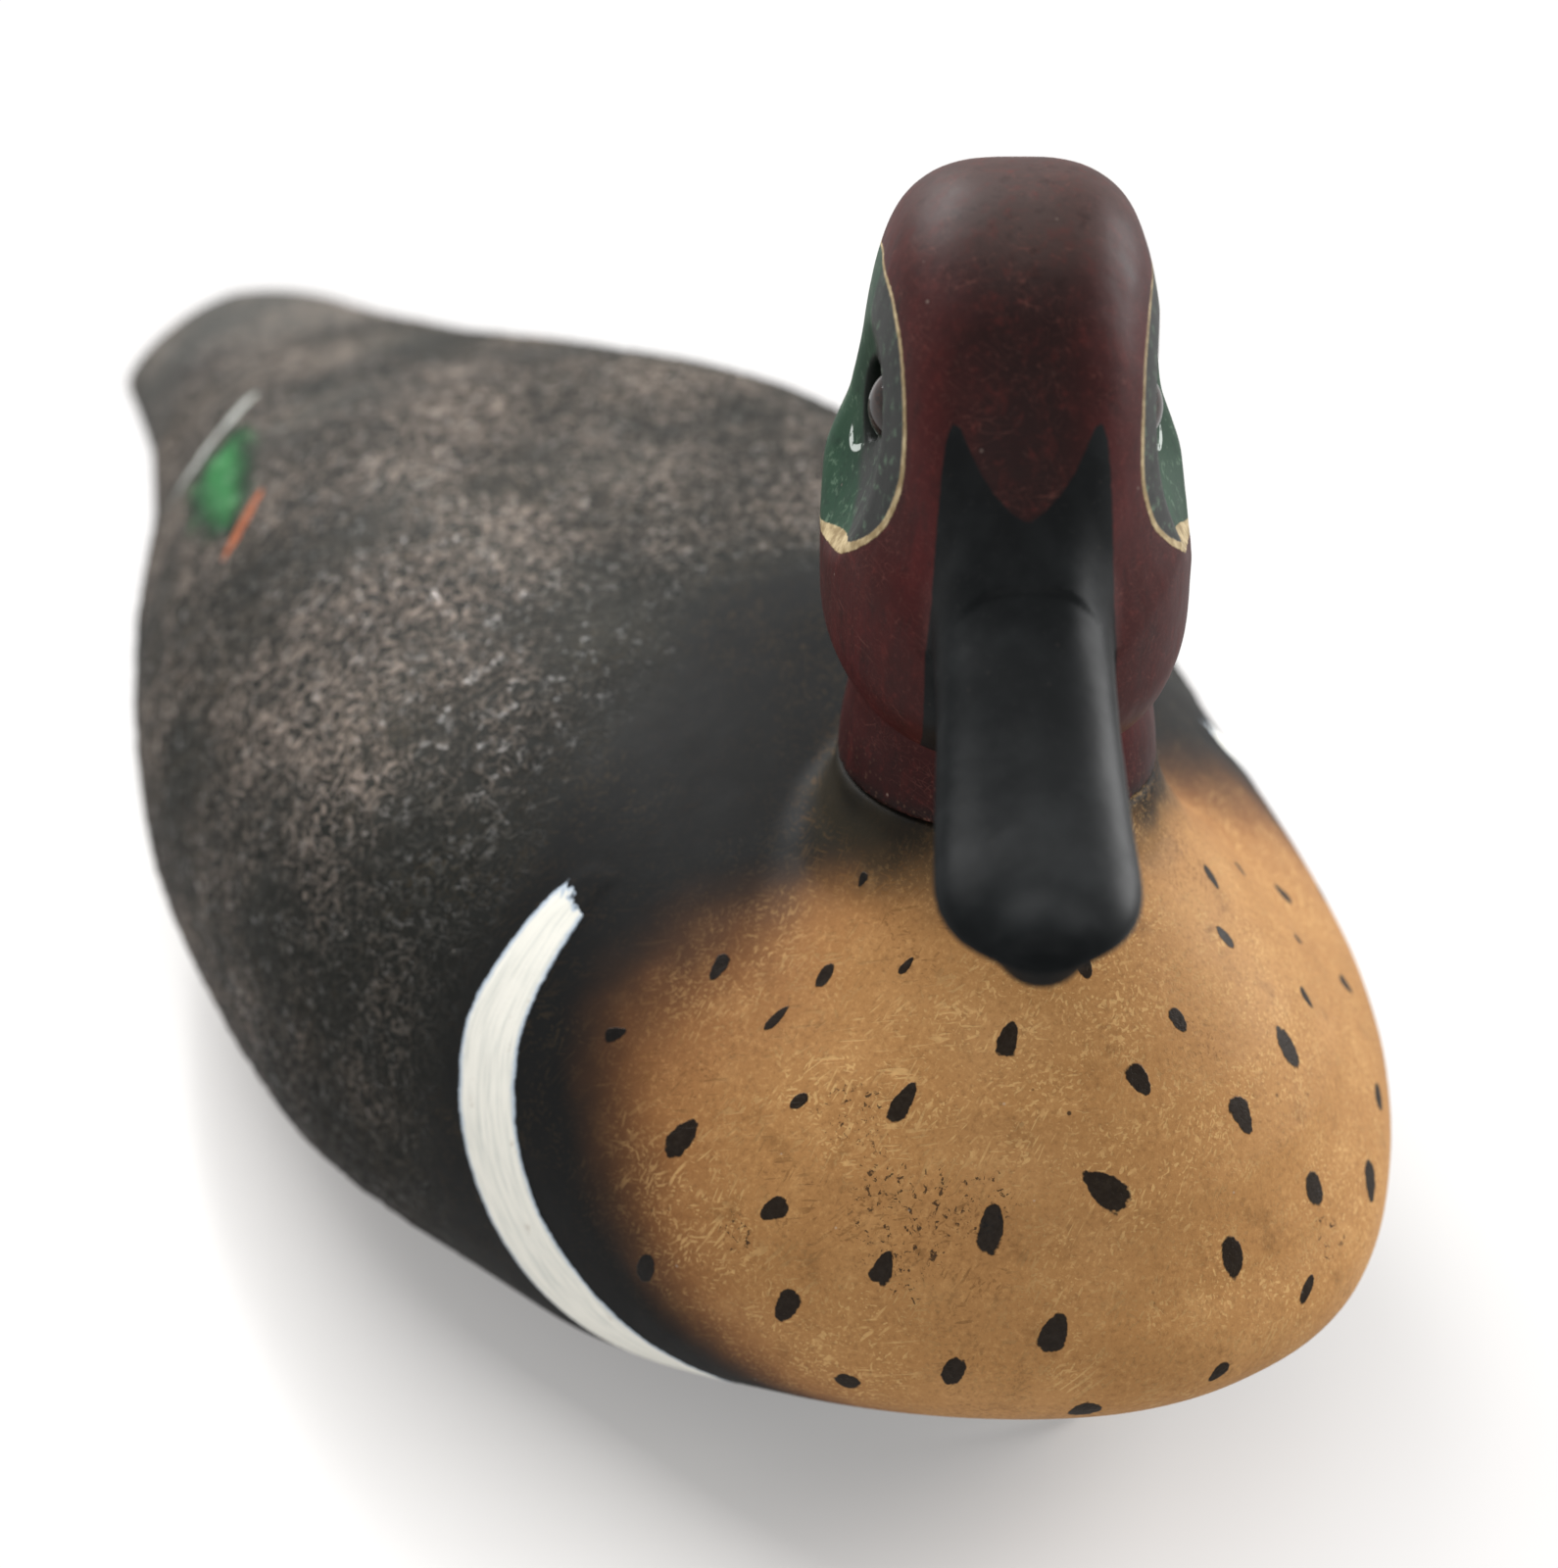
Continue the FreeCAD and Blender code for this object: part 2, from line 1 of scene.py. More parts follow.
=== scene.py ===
"""Looks of a floating duck decoy.

The body floats on z = 0 with its breast towards -Y, its tail towards +Y and its left side
towards +X. The head sits on the neck seat and is turned to the duck's right. Shapes are
worked out in mm as signed fields (negative inside), and are scaled to metres on the objects.
"""
import bpy
import bmesh
import math
from functools import reduce
import numpy as np
from mathutils import Matrix, Vector


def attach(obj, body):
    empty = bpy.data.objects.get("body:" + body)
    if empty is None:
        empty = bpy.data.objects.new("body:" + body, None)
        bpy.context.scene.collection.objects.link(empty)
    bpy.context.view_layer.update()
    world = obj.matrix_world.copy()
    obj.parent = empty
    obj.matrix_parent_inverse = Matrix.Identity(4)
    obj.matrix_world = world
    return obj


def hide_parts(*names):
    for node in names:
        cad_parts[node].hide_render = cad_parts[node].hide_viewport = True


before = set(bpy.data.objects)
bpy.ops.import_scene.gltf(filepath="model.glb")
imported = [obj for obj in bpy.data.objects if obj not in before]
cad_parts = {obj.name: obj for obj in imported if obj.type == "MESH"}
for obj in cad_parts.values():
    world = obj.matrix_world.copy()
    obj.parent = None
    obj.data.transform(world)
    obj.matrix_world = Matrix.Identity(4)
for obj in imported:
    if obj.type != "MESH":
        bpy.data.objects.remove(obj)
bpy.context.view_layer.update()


# ---- Profiles
def profile(stations, values, samples=1500):
    """Monotone cubic through the stations, as a lookup table."""
    stations, values = np.array(stations, float), np.array(values, float)
    gap = np.diff(stations)
    slope = np.diff(values) / gap
    tangent = np.zeros(len(stations))
    for i in range(1, len(stations) - 1):
        if slope[i - 1] * slope[i] > 0:
            before, after = 2 * gap[i] + gap[i - 1], gap[i] + 2 * gap[i - 1]
            tangent[i] = (before + after) / (before / slope[i - 1] + after / slope[i])

    def end(gap0, gap1, slope0, slope1):
        value = ((2 * gap0 + gap1) * slope0 - gap0 * slope1) / (gap0 + gap1)
        if value * slope0 <= 0:
            return 0.0
        if slope0 * slope1 <= 0 and abs(value) > 3 * abs(slope0):
            return 3 * slope0
        return value

    tangent[0] = end(gap[0], gap[1], slope[0], slope[1])
    tangent[-1] = end(gap[-1], gap[-2], slope[-1], slope[-2])
    fine = np.linspace(stations[0], stations[-1], samples)
    i = np.clip(np.searchsorted(stations, fine, side="right") - 1, 0, len(stations) - 2)
    t = (fine - stations[i]) / gap[i]
    table = ((1 + 2 * t) * (1 - t) ** 2 * values[i] + t * (1 - t) ** 2 * gap[i] * tangent[i]
             + t * t * (3 - 2 * t) * values[i + 1] + t * t * (t - 1) * gap[i] * tangent[i + 1])
    return lambda place: np.interp(place, fine, table)


# Body: half width, top and bottom along its length (0 breast, 1 tail).
FRONT_Y, LENGTH = -141.3, 285.0
CUT = 6.0     # the bottom is cut flat this far above the profile's zero
SEAM = 24.0   # height of the joint between the two halves
ROUND_SPAN, ROUND_POWER = 0.41, 2.27   # part of the length over which the breast rounds off
STATIONS = [0, .12, .25, .4, .55, .7, .82, .92, 1.0]
body_half = profile(STATIONS, [50.9, 59.9, 62.7, 70.0, 66.3, 53.5, 36.4, 26.5, 23.4])
body_top = profile(STATIONS, [62.6, 77.3, 87.0, 92.1, 92.9, 85.5, 76.6, 70.9, 67.2])
body_low = profile(STATIONS, [19.6, 10.3, 0, 0, 0, 0, 20.0, 43.7, 64.1])
body_waist = profile([0, .5, 1], [0.49, 0.41, 0.62])   # height of the widest line

# Neck seat. Columns: height, half width, reach forward, reach back.
NECK_Y, NECK_Z, FLARE_Z = -88.0, 83.7, 35
FLARE = np.array([
    (35.0, 40.5, 45.5, 42.0), (44.0, 41.0, 48.0, 42.0), (52.5, 38.5, 44.6, 37.0),
    (60.5, 33.5, 38.4, 31.0), (67.5, 27.5, 31.0, 25.5), (73.0, 22.8, 24.8, 21.8),
    (77.5, 20.0, 20.6, 19.4), (81.2, 18.5, 18.6, 18.4), (NECK_Z, 18.1, 18.1, 18.1)])

# Round holes in the body. Columns: x, y, radius, bottom, top.
DOWELS = [(53, -56), (49, 39)]   # mirrored in x
BORES = [(0, NECK_Y, 4.5, 58, 90), (0, NECK_Y, 14.2, 82.1, 90), (0, NECK_Y, 11.0, 34, 60)]
BORES += [(side * x, y, 3.05, 15, 35.6) for x, y in DOWELS for side in (1, -1)]
# Pocket for the ballast pad
PAD_HALF_X, PAD_HALF_Y, PAD_Y, PAD_CORNER, PAD_TOP = 17.15, 39.15, 4, 11, 6.05
# Hollow: its ends along the body and the wood left beside and above it
HOLLOW_START, HOLLOW_END, WALL_SIDE, WALL_TOP = 0.095, 0.8, 15, 19

# Head, in its own frame: x to the duck's left, y forward, z up, origin on the neck.
TURN, HEAD_Z = math.radians(-32.2), 84.0
SKULL_BACK, SKULL_FRONT = -28.8, 29.9
QUARTERS = [0, .25, .5, .75, 1]
skull_half = profile(QUARTERS, [16.7, 20.1, 19.9, 18.7, 13.5])
skull_top = profile(QUARTERS, [51.1, 65.2, 67.3, 63.9, 47.7])
skull_side = profile([0, .25, .45, .62, .78, .9, 1], [1, .985, .85, .81, .815, .82, .76])
skull_low = profile(QUARTERS, [18.2, 8.0, 7.3, 7.0, 12.0])
neck_radius = profile([0, 4, 9, 14, 22, 34], [17.9, 17.55, 16.7, 16.4, 16.4, 15.0])
BILL_LEN = 39.2
BILL_ROOT = SKULL_FRONT - 6
BILL_TIP = BILL_ROOT + BILL_LEN
bill_half = profile(QUARTERS, [9.1, 8.8, 9.2, 9.7, 9.9])
bill_top = profile(QUARTERS, [38.3, 32.2, 26.0, 21.6, 19.2])
bill_thick = profile([0, .5, 1], [15.0, 9.6, 6.4])
BILL_RISE = float(bill_top(0.0) - bill_top(0.01)) / 0.01   # slope at the root
EYE_RADIUS, EYE_X, EYE_Y, EYE_Z = 4.5, 10.6, 6.0, 44.3
EYE = (EYE_X, EYE_Y, EYE_Z)
# Opening between the lids: half length, half height, centre and tilt in side view
LID_LONG, LID_HIGH, LID_Y, LID_Z, LID_TILT = 4.8, 3.3, 0.3, 42.5, math.radians(84.0)


# ---- Field tools
def smin(a, b, radius):
    """Smaller of two fields with a rounded join."""
    near = np.maximum(radius - np.abs(a - b), 0) / radius
    return np.minimum(a, b) - near * near * radius / 4


def smax(a, b, radius):
    return -smin(-a, -b, radius)


def gradient(field, pts, value, step):
    grad = np.zeros_like(pts)
    for i in range(3):
        moved = pts.copy()
        moved[:, i] += step
        grad[:, i] = (field(moved) - value) / step
    return grad


def metric(field, pts):
    """A field scaled to roughly a distance in mm."""
    value = field(pts)
    grad = gradient(field, pts, value, 0.05)
    return value / np.maximum(np.sqrt((grad * grad).sum(1)), 2e-3)


def ease(t):
    t = np.clip(t, 0, 1)
    return t * t * (3 - 2 * t)


def norm(a, b, power):
    return (a ** power + b ** power) ** (1 / power)


def split_height(z, mid, rise, drop):
    """Whether z is above mid, and its distance from mid as a share of the half there."""
    above = z >= mid
    return above, np.where(above, (z - mid) / rise, (mid - z) / drop)


def rod(pts, x, y, radius, bottom, top):
    z = pts[:, 2]
    return np.maximum(np.hypot(pts[:, 0] - x, pts[:, 1] - y) - radius,
                      np.maximum(bottom - z, z - top))


def ball(pts, centre, radius):
    return np.sqrt(((pts - np.array(centre)) ** 2).sum(1)) - radius


def ellipsoid(pts, centre, radii):
    return ball((pts - np.array(centre)) / np.array(radii), (0, 0, 0), 1) * min(radii)


def mirrored(pts):
    """Points folded onto the +x side."""
    pts = pts.copy()
    pts[:, 0] = np.abs(pts[:, 0])
    return pts


# ---- Body fields
def hull_raw(pts):
    x, y, z = pts.T
    along = (y - FRONT_Y) / LENGTH
    pos = np.clip(along, 0, 1)
    top, low = body_top(pos), body_low(pos)
    mid = low + (top - low) * body_waist(pos)
    tail = np.clip((pos - 0.86) / 0.14, 0, 1)
    wide = np.abs(x) / body_half(pos)
    # the sides of the tail droop
    lifted = z + CUT + tail * 7.3 * np.minimum(wide, 1.3) ** 2
    above, tall = split_height(lifted, mid, top - mid, mid - low)
    rho = norm(wide, tall, np.where(above, 2.32, 2.37))
    return norm(rho, np.maximum(0, 1 - along / ROUND_SPAN), ROUND_POWER) - 1


def seat_raw(pts):
    x, y, z = pts[:, 0], pts[:, 1] - NECK_Y, np.clip(pts[:, 2], FLARE_Z, NECK_Z)
    side, front, rear = (np.interp(z, FLARE[:, 0], FLARE[:, i]) for i in (1, 2, 3))
    return np.sqrt((x / side) ** 2 + (y / np.where(y < 0, front, rear)) ** 2) - 1


def outer_body(pts):
    x, y, z = pts.T
    seat = np.maximum(metric(seat_raw, pts), FLARE_Z - z)
    body = smin(metric(hull_raw, pts), seat, 3.0)
    body = smax(body, z - NECK_Z, 0.8)
    # two slanting planes point the tail, then the bottom is cut flat
    body = smax(body, (y + 0.3205 * np.abs(x) - 143.5) / 1.0501, 1.4)
    return smax(body, -z, 1.6)


def hollow_raw(pts):
    x, y, z = pts.T
    along = (y - FRONT_Y) / LENGTH
    frac = (along - HOLLOW_START) / 0.705
    pos = np.clip(along, HOLLOW_START, HOLLOW_END)
    shrink = (1 - np.maximum(0, 1 - pos / ROUND_SPAN) ** ROUND_POWER) ** (1 / ROUND_POWER)
    top, low = body_top(pos), body_low(pos)
    mid = low + (top - low) * body_waist(pos)
    half = body_half(pos) * shrink - WALL_SIDE
    rise = mid + (top - mid) * shrink - WALL_TOP - SEAM
    drop = np.maximum(SEAM - np.maximum(11, mid - (mid - low) * shrink + 6), 0.6)
    tall = split_height(z, SEAM, rise, drop)[1]
    return norm(norm(np.abs(x) / half, tall, 2.5), np.abs(2 * frac - 1), 2.6) - 1


def whole_body(pts):
    x, y, z = pts.T
    cut = metric(hollow_raw, pts)
    for bore in BORES:
        cut = np.minimum(cut, rod(pts, *bore))
    over_x = np.abs(x) - (PAD_HALF_X - PAD_CORNER)
    over_y = np.abs(y - PAD_Y) - (PAD_HALF_Y - PAD_CORNER)
    pad = (np.hypot(np.maximum(over_x, 0), np.maximum(over_y, 0))
           + np.minimum(np.maximum(over_x, over_y), 0) - PAD_CORNER)
    cut = np.minimum(cut, np.maximum(pad, z - PAD_TOP))
    return np.maximum(outer_body(pts), -cut)


# ---- Head fields
def skull_raw(pts):
    x, y, z = pts.T
    along = (y - SKULL_BACK) / (SKULL_FRONT - SKULL_BACK)
    pos = np.clip(along, 0, 1)
    top, low = skull_top(pos), skull_low(pos)
    mid = low + (top - low) * 0.23
    above, tall = split_height(z, mid, top - mid, mid - low)
    power = np.where(above, 3.5, 2.1)
    wide = np.abs(x) / skull_half(pos)
    rho = norm(wide, tall, power)
    for _ in range(4):   # the cheeks narrow upwards
        share = np.where(above, np.clip(tall / np.maximum(rho, 1e-6), 0, 1), 0)
        rho = norm(wide / skull_side(share), tall, power)
    ends = np.abs(2 * along - 1)
    front = (np.maximum(rho, 1e-6) ** 2.667 + ends ** 2) ** 0.4 - 1
    return np.where(along < 0.5, norm(rho, ends, 2.7) - 1, front)


def bill_raw(pts):
    x, y, z = pts.T
    along = (y - BILL_ROOT) / BILL_LEN
    pos = np.clip(along, 0, 1)
    # the tip thins to a rounded lip
    lip = ease((along - 0.80) / 0.2)
    top = bill_top(pos) + np.clip(-along, 0, 0.4) * BILL_RISE - 1.1 * lip * lip
    low = bill_top(pos) - 1.1 * lip * lip - bill_thick(pos) * (1 - 0.22 * lip)
    mid = low + 0.4 * (top - low)
    above, tall = split_height(z, mid, top - mid, mid - low)
    tip = np.maximum(0, (along - 0.72) / 0.28)
    rho = norm(np.abs(x) / bill_half(pos), tall * (1 + 0.12 * tip ** 4),
               np.where(above, 2.3, 2.6))
    return (rho ** 2 + tip ** 2.6 * 0.985) ** 0.5 - 1


def almond(pts):
    """Lens shape in side view: the opening between the eyelids."""
    cos, sin = math.cos(LID_TILT), math.sin(LID_TILT)
    y, z = pts[:, 1] - LID_Y, pts[:, 2] - LID_Z
    along, across = y * cos + z * sin, -y * sin + z * cos
    radius = (LID_LONG * LID_LONG + LID_HIGH * LID_HIGH) / (2 * LID_HIGH)
    shift = radius - LID_HIGH
    return np.maximum(np.hypot(along, across - shift), np.hypot(along, across + shift)) - radius


def opening(pts, inner_x):
    """The cut between the eyelids, going in from the side to inner_x."""
    return np.maximum(almond(pts), inner_x - np.abs(pts[:, 0]))


def head_form(pts):
    """Head without the eye openings."""
    x, y, z = pts.T
    off = np.abs(x)
    neck = smax(np.hypot(x, y) - neck_radius(np.clip(z, 0, 34)), z - 34, 1.0)
    head = smin(metric(skull_raw, pts), neck, 1.6)
    bill = np.maximum(metric(bill_raw, pts), (BILL_ROOT - 0.35 * BILL_LEN) - y)
    # nail hooked down over the tip, with a small hollow in front of it
    bill = smin(bill, ellipsoid(pts, (0, BILL_TIP - 3.6, 14.6), (4.2, 3.4, 4.0)), 1.8)
    bill = smax(bill, -ellipsoid(pts, (0, BILL_TIP + 0.9, 16.6), (4.0, 1.7, 1.5)), 0.9)
    head = smin(head, bill, 1.3 + 5.2 * ease((9.6 - off) / 6) * ease((z - 22) / 9))
    # line between the two halves of the bill
    along = (y - BILL_ROOT) / BILL_LEN
    pos = np.clip(along, 0, 1)
    line = bill_top(pos) - 0.72 * bill_thick(pos) - 0.9 * (1 - ease(pos * 4))
    fade = ease((along + 0.02) * 9) * ease((0.93 - along) * 9)
    head = head + np.where(off > 4, 0.38 * fade * np.exp(-((z - line) / 0.42) ** 2), 0)
    # shallow dishes round the eyes
    head = smax(head, -ball(mirrored(pts), (39.3, EYE_Y, EYE_Z), 26.0), 0.8)
    head = np.maximum(head, -z)
    # stepped bore up from the neck
    bore = np.maximum(np.hypot(x, y) - np.where(z < 15.8, 4.5, 3.15), z - 28)
    return np.maximum(head, -bore)


def whole_head(pts):
    head = np.maximum(head_form(pts), -ball(mirrored(pts), EYE, 5.7))
    return smax(head, -opening(pts, 10.3), 0.3)


def lid_field(pts):
    """Filler round the eye on the +x side with the opening cut through it."""
    eye = ball(pts, EYE, 0)
    lid = np.maximum(eye - 5.66, head_form(pts))
    lid = smax(lid, -opening(pts, 9.6), 0.25)
    return np.maximum(lid, -(eye - 4.53))


# ---- Surfaces from fields
BLOCK = 4   # grid cells along one side of a block


def sample(field, low, high, cell, near):
    """Field on a grid, worked out finely only in blocks close to the surface."""
    count = np.ceil((np.array(high) - low) / cell / BLOCK).astype(int)
    step = cell * BLOCK
    axes = [low[i] + (np.arange(count[i]) + 0.5) * step - cell / 2 for i in range(3)]
    centres = np.stack(np.meshgrid(*axes, indexing="ij"), -1).reshape(-1, 3)
    coarse = field(centres).reshape(count)
    grid = coarse.repeat(BLOCK, 0).repeat(BLOCK, 1).repeat(BLOCK, 2).astype(np.float32)
    active = np.argwhere(np.abs(coarse) < near)
    corner = np.stack(np.meshgrid(*[np.arange(BLOCK)] * 3, indexing="ij"), -1).reshape(-1, 3)
    for k in range(0, len(active), 6000):
        index = (active[k:k + 6000, None, :] * BLOCK + corner[None]).reshape(-1, 3)
        grid[tuple(index.T)] = field(low + index * cell)
    return grid


def net(grid):
    """Quad net round the zero level, in grid units: one vertex per crossed cell."""
    size_y, size_z = grid.shape[1:]
    ids, crossings, quads = [], [], []
    inner = grid < 0
    for axis in range(3):
        start, stop = [slice(None)] * 3, [slice(None)] * 3
        start[axis], stop[axis] = slice(0, -1), slice(1, None)
        start, stop = tuple(start), tuple(stop)
        crossed = inner[start] != inner[stop]
        index = np.argwhere(crossed)
        first, second = grid[start][crossed].astype(float), grid[stop][crossed].astype(float)
        point = index.astype(float)
        point[:, axis] += first / (first - second)
        corners = []
        for shift1, shift2 in ((0, 0), (-1, 0), (-1, -1), (0, -1)):
            cell = index.copy()
            cell[:, (axis + 1) % 3] += shift1
            cell[:, (axis + 2) % 3] += shift2
            corners.append((cell[:, 0] * (size_y - 1) + cell[:, 1]) * (size_z - 1) + cell[:, 2])
            ids.append(corners[-1])
            crossings.append(point)
        quad = np.stack(corners, 1)
        quad[first >= 0] = quad[first >= 0][:, ::-1]
        quads.append(quad)
    crossings = np.concatenate(crossings)
    used, inverse = np.unique(np.concatenate(ids), return_inverse=True)
    count = np.bincount(inverse)
    verts = np.stack([np.bincount(inverse, crossings[:, i]) / count for i in range(3)], 1)
    return verts, np.searchsorted(used, np.concatenate(quads))


def surface(field, low, high, cell, near):
    """Vertices and quads of a field's surface, settled onto it."""
    low = np.array(low, float)
    verts, quads = net(sample(field, low, high, cell, near))
    verts = low + verts * cell
    for _ in range(3):
        value = field(verts)
        grad = gradient(field, verts, value, 0.04)
        move = value / np.maximum((grad * grad).sum(1), 0.05)
        verts = verts - grad * np.clip(move, -0.4 * cell, 0.4 * cell)[:, None]
    return verts, quads


def normals(verts, quads):
    corner = [verts[quads[:, i]] for i in range(4)]
    facing = np.cross(corner[2] - corner[0], corner[3] - corner[1])
    total = np.zeros_like(verts)
    for i in range(4):
        for k in range(3):
            total[:, k] += np.bincount(quads[:, i], facing[:, k], len(verts))
    return total / np.maximum(np.linalg.norm(total, axis=1), 1e-9)[:, None]


# ---- Noise on points
def lattice(i, j, k, seed):
    """Hash of a grid corner, in -1..1."""
    i, j, k = (axis.astype(np.int64) for axis in (i, j, k))
    mixed = (i * 73856093) ^ (j * 19349663) ^ (k * 83492791) ^ (seed * 2654435761)
    mixed = (mixed ^ (mixed >> 13)) & 0xFFFFFFFF
    mixed = (mixed * 1274126177) & 0xFFFFFFFF
    mixed = (mixed ^ (mixed >> 16)) & 0xFFFFFFFF
    mixed = (mixed * 2246822519) & 0xFFFFFFFF
    return ((mixed ^ (mixed >> 15)) & 0xFFFFFF) / float(0xFFFFFF) * 2 - 1


def lumps(pts, size, seed):
    """Smooth value noise in -1..1 with features about size mm across."""
    scaled = pts / size
    cell = np.floor(scaled).astype(np.int64)
    part = scaled - cell
    part = part * part * (3 - 2 * part)
    total = 0
    for i in (0, 1):
        for j in (0, 1):
            for k in (0, 1):
                share = [part[:, n] if high else 1 - part[:, n]
                         for n, high in enumerate((i, j, k))]
                corner = lattice(cell[:, 0] + i, cell[:, 1] + j, cell[:, 2] + k, seed)
                total = total + share[0] * share[1] * share[2] * corner
    return total


def layered(pts, size, seed, layers=3):
    """Lumps of falling size and strength."""
    result, total, strength = 0, 0, 1.0
    for k in range(layers):
        result = result + strength * lumps(pts, size / 2 ** k, seed + 17 * k)
        total += strength
        strength *= 0.55
    return result / total


# ---- Paint on the vertices
def linear(rgb):
    """Linear colour from sRGB in 0..255."""
    rgb = np.array(rgb, float) / 255
    return np.where(rgb <= 0.04045, rgb / 12.92, ((rgb + 0.055) / 1.055) ** 2.4)


class Paint:
    """One linear colour per vertex, built up in coats of sRGB colour."""

    def __init__(self, count, ground):
        self.rows = np.tile(linear(ground), (count, 1))

    def coat(self, colour, weight):
        weight = np.clip(weight, 0, 1)[:, None]
        rows = colour.rows if isinstance(colour, Paint) else linear(colour)
        self.rows = self.rows * (1 - weight) + rows * weight


def polyline(flat, line, closed=False):
    """Distance from 2-D points to a polyline, and the length along it."""
    line = [np.array(point, float) for point in line]
    if closed:
        line = line + line[:1]
    best = np.full(len(flat), 1e9)
    arc = np.zeros(len(flat))
    run = 0.0
    for start, stop in zip(line[:-1], line[1:]):
        step = stop - start
        length = math.hypot(*step)
        t = np.clip(((flat - start) @ step) / (length * length), 0, 1)
        dist = np.hypot(*(flat - start - t[:, None] * step).T)
        closer = dist < best
        best = np.where(closer, dist, best)
        arc = np.where(closer, run + t * length, arc)
        run += length
    return best, arc


def signed(flat, outline):
    """Positive inside a closed polygon, in mm."""
    x, y = flat.T
    inside = np.zeros(len(flat), bool)
    for (x0, y0), (x1, y1) in zip(outline, outline[1:] + outline[:1]):
        if y0 != y1:
            inside ^= ((y0 > y) != (y1 > y)) & (x < (x1 - x0) * (y - y0) / (y1 - y0) + x0)
    dist = polyline(flat, outline, True)[0]
    return np.where(inside, dist, -dist)


def rounded(line):
    """Corner-cut a polyline so that painted edges run smoothly."""
    pts = [np.array(point, float) for point in line]
    for _ in range(2):
        out = [pts[0]]
        for start, stop in zip(pts[:-1], pts[1:]):
            out += [0.75 * start + 0.25 * stop, 0.25 * start + 0.75 * stop]
        pts = out + [pts[-1]]
    return [tuple(point) for point in pts]


# Marks on the breast. Columns: centre x, y, z, direction x, y, z, length, width.
SPOTS = np.array([
 (-20.7,-92.2,75.8,.53,.06,.85,1.9,1.1),(13.2,-114.1,68.4,-.39,.61,.69,3.2,1.7),
 (-35.3,-85.5,65.5,.79,.29,.54,3.7,1.7),(-21.5,-102.1,70.5,.74,-.03,.67,2.5,1.0),
 (-27.3,-94.9,67.0,.68,.06,.73,3.2,1.7),(22.9,-118.1,58.6,-.36,.48,.80,3.1,1.6),
 (-33.0,-94.0,62.8,.89,.05,.46,3.7,1.2),(1.4,-120.8,65.8,-.18,.72,.67,3.1,1.8),
 (-16.5,-114.3,66.4,.59,.42,.69,4.0,2.2),(15.0,-124.1,58.7,-.20,.60,.77,5.2,3.0),
 (-5.9,-123.6,62.6,-.12,.73,.68,3.9,2.4),(-27.4,-110.6,60.0,.62,.02,.78,5.1,2.2),
 (-35.1,-102.0,57.5,.89,-.16,.42,2.5,1.5),(4.5,-129.2,57.0,-.08,.60,.79,4.6,2.5),
 (-45.9,-94.7,52.1,.65,-.18,.74,5.4,2.8),(22.5,-131.6,41.5,.49,.68,.55,5.2,2.5),
 (-13.5,-128.6,54.4,-.53,.60,.60,5.8,3.4),(11.9,-132.8,46.1,.19,.45,.87,4.1,2.9),
 (-41.5,-106.9,48.7,.74,-.46,.50,3.7,2.4),(-24.7,-123.5,50.6,.36,.27,.89,5.8,2.7),
 (-1.6,-135.5,44.7,.11,.51,.85,4.8,2.7),(-34.7,-118.1,45.8,.57,.13,.81,4.1,2.2),
 (6.6,-139.5,39.1,.78,.40,.49,3.8,1.4),(-42.7,-111.5,39.1,.26,-.26,.93,4.9,2.5),
 (-22.2,-132.1,41.2,.58,.17,.80,4.5,2.9),(-31.1,-126.4,35.6,.27,-.21,.94,4.5,2.4),
 (-6.4,-140.7,34.5,.76,-.08,.65,3.0,1.7),(-38.6,-117.3,30.6,.47,-.77,.43,3.3,2.6),
 (-19.6,-134.8,30.9,.53,-.63,.57,4.0,2.9),(-46.7,-81.7,58.4,.65,-.58,.49,3.0,1.6),
 (-51.2,-95.3,36.3,.18,-.23,.96,4.6,2.4),(16.4,-107.5,71.5,-.08,.79,.61,3.3,1.6),
 (33.6,-101.0,59.0,-.53,.60,.60,3.4,2.0),(29.1,-109.1,59.1,-.6,.02,.8,2.1,1.2),
 (35.9,-111.1,51.1,-.48,.43,.77,3.2,1.8),(31.4,-122.8,44.1,.51,.77,.38,3.8,2.2),
 (25.5,-102.3,66.4,.03,.92,.40,2.7,1.5),(3,-108,73.5,.2,.8,.5,3.0,1.7),
 (-6,-113,71,.1,.8,.5,3.2,1.8),(45.9,-94.7,50,-.6,.1,.7,4.6,2.4),
 (41.5,-104,42,-.5,.4,.8,3.9,2.2),(40,-114,37,-.2,-.2,.9,4.4,2.2),
 (33,-124,32,.3,.2,.9,4.0,2.2),(48,-86,58,-.6,.3,.6,3.2,1.6),
 (14,-137,30,.2,.3,.9,3.8,2.1),(-4,-138.5,26,.4,-.3,.8,3.0,1.8),
 (24,-130,28,.5,.2,.8,3.6,1.9)])
# Worn places on the breast. Columns: x, y, z, radius.
WORN = [(-32, -107.5, 58.5, 4), (-31.5, -116, 53, 5.5), (-24.5, -122.3, 53.2, 3.6),
        (-33, -119.5, 47.5, 5.5), (12, -137, 42, 3), (-44, -104, 45, 3)]
# Rear edge of the breast colour: y at each height
BREAST_Z = [5, 15, 25.6, 30.2, 35.9, 43, 48.6, 54, 59.6, 64.6, 68.5, 71.3, 76, 81.7]
BREAST_Y = [-122, -112, -101.4, -96.5, -91.3, -86.9, -83.2, -79.8, -77.7, -77, -77.3, -79,
            -86, -92.5]
# Front edge of the back's texture: y at each distance from the centre plane
CAPE_X = [0, 7, 15, 20, 27, 34, 39, 42, 46, 52, 70]
CAPE_Y = [-38, -40, -44, -49, -51, -54, -56.4, -59, -62, -62, -62]
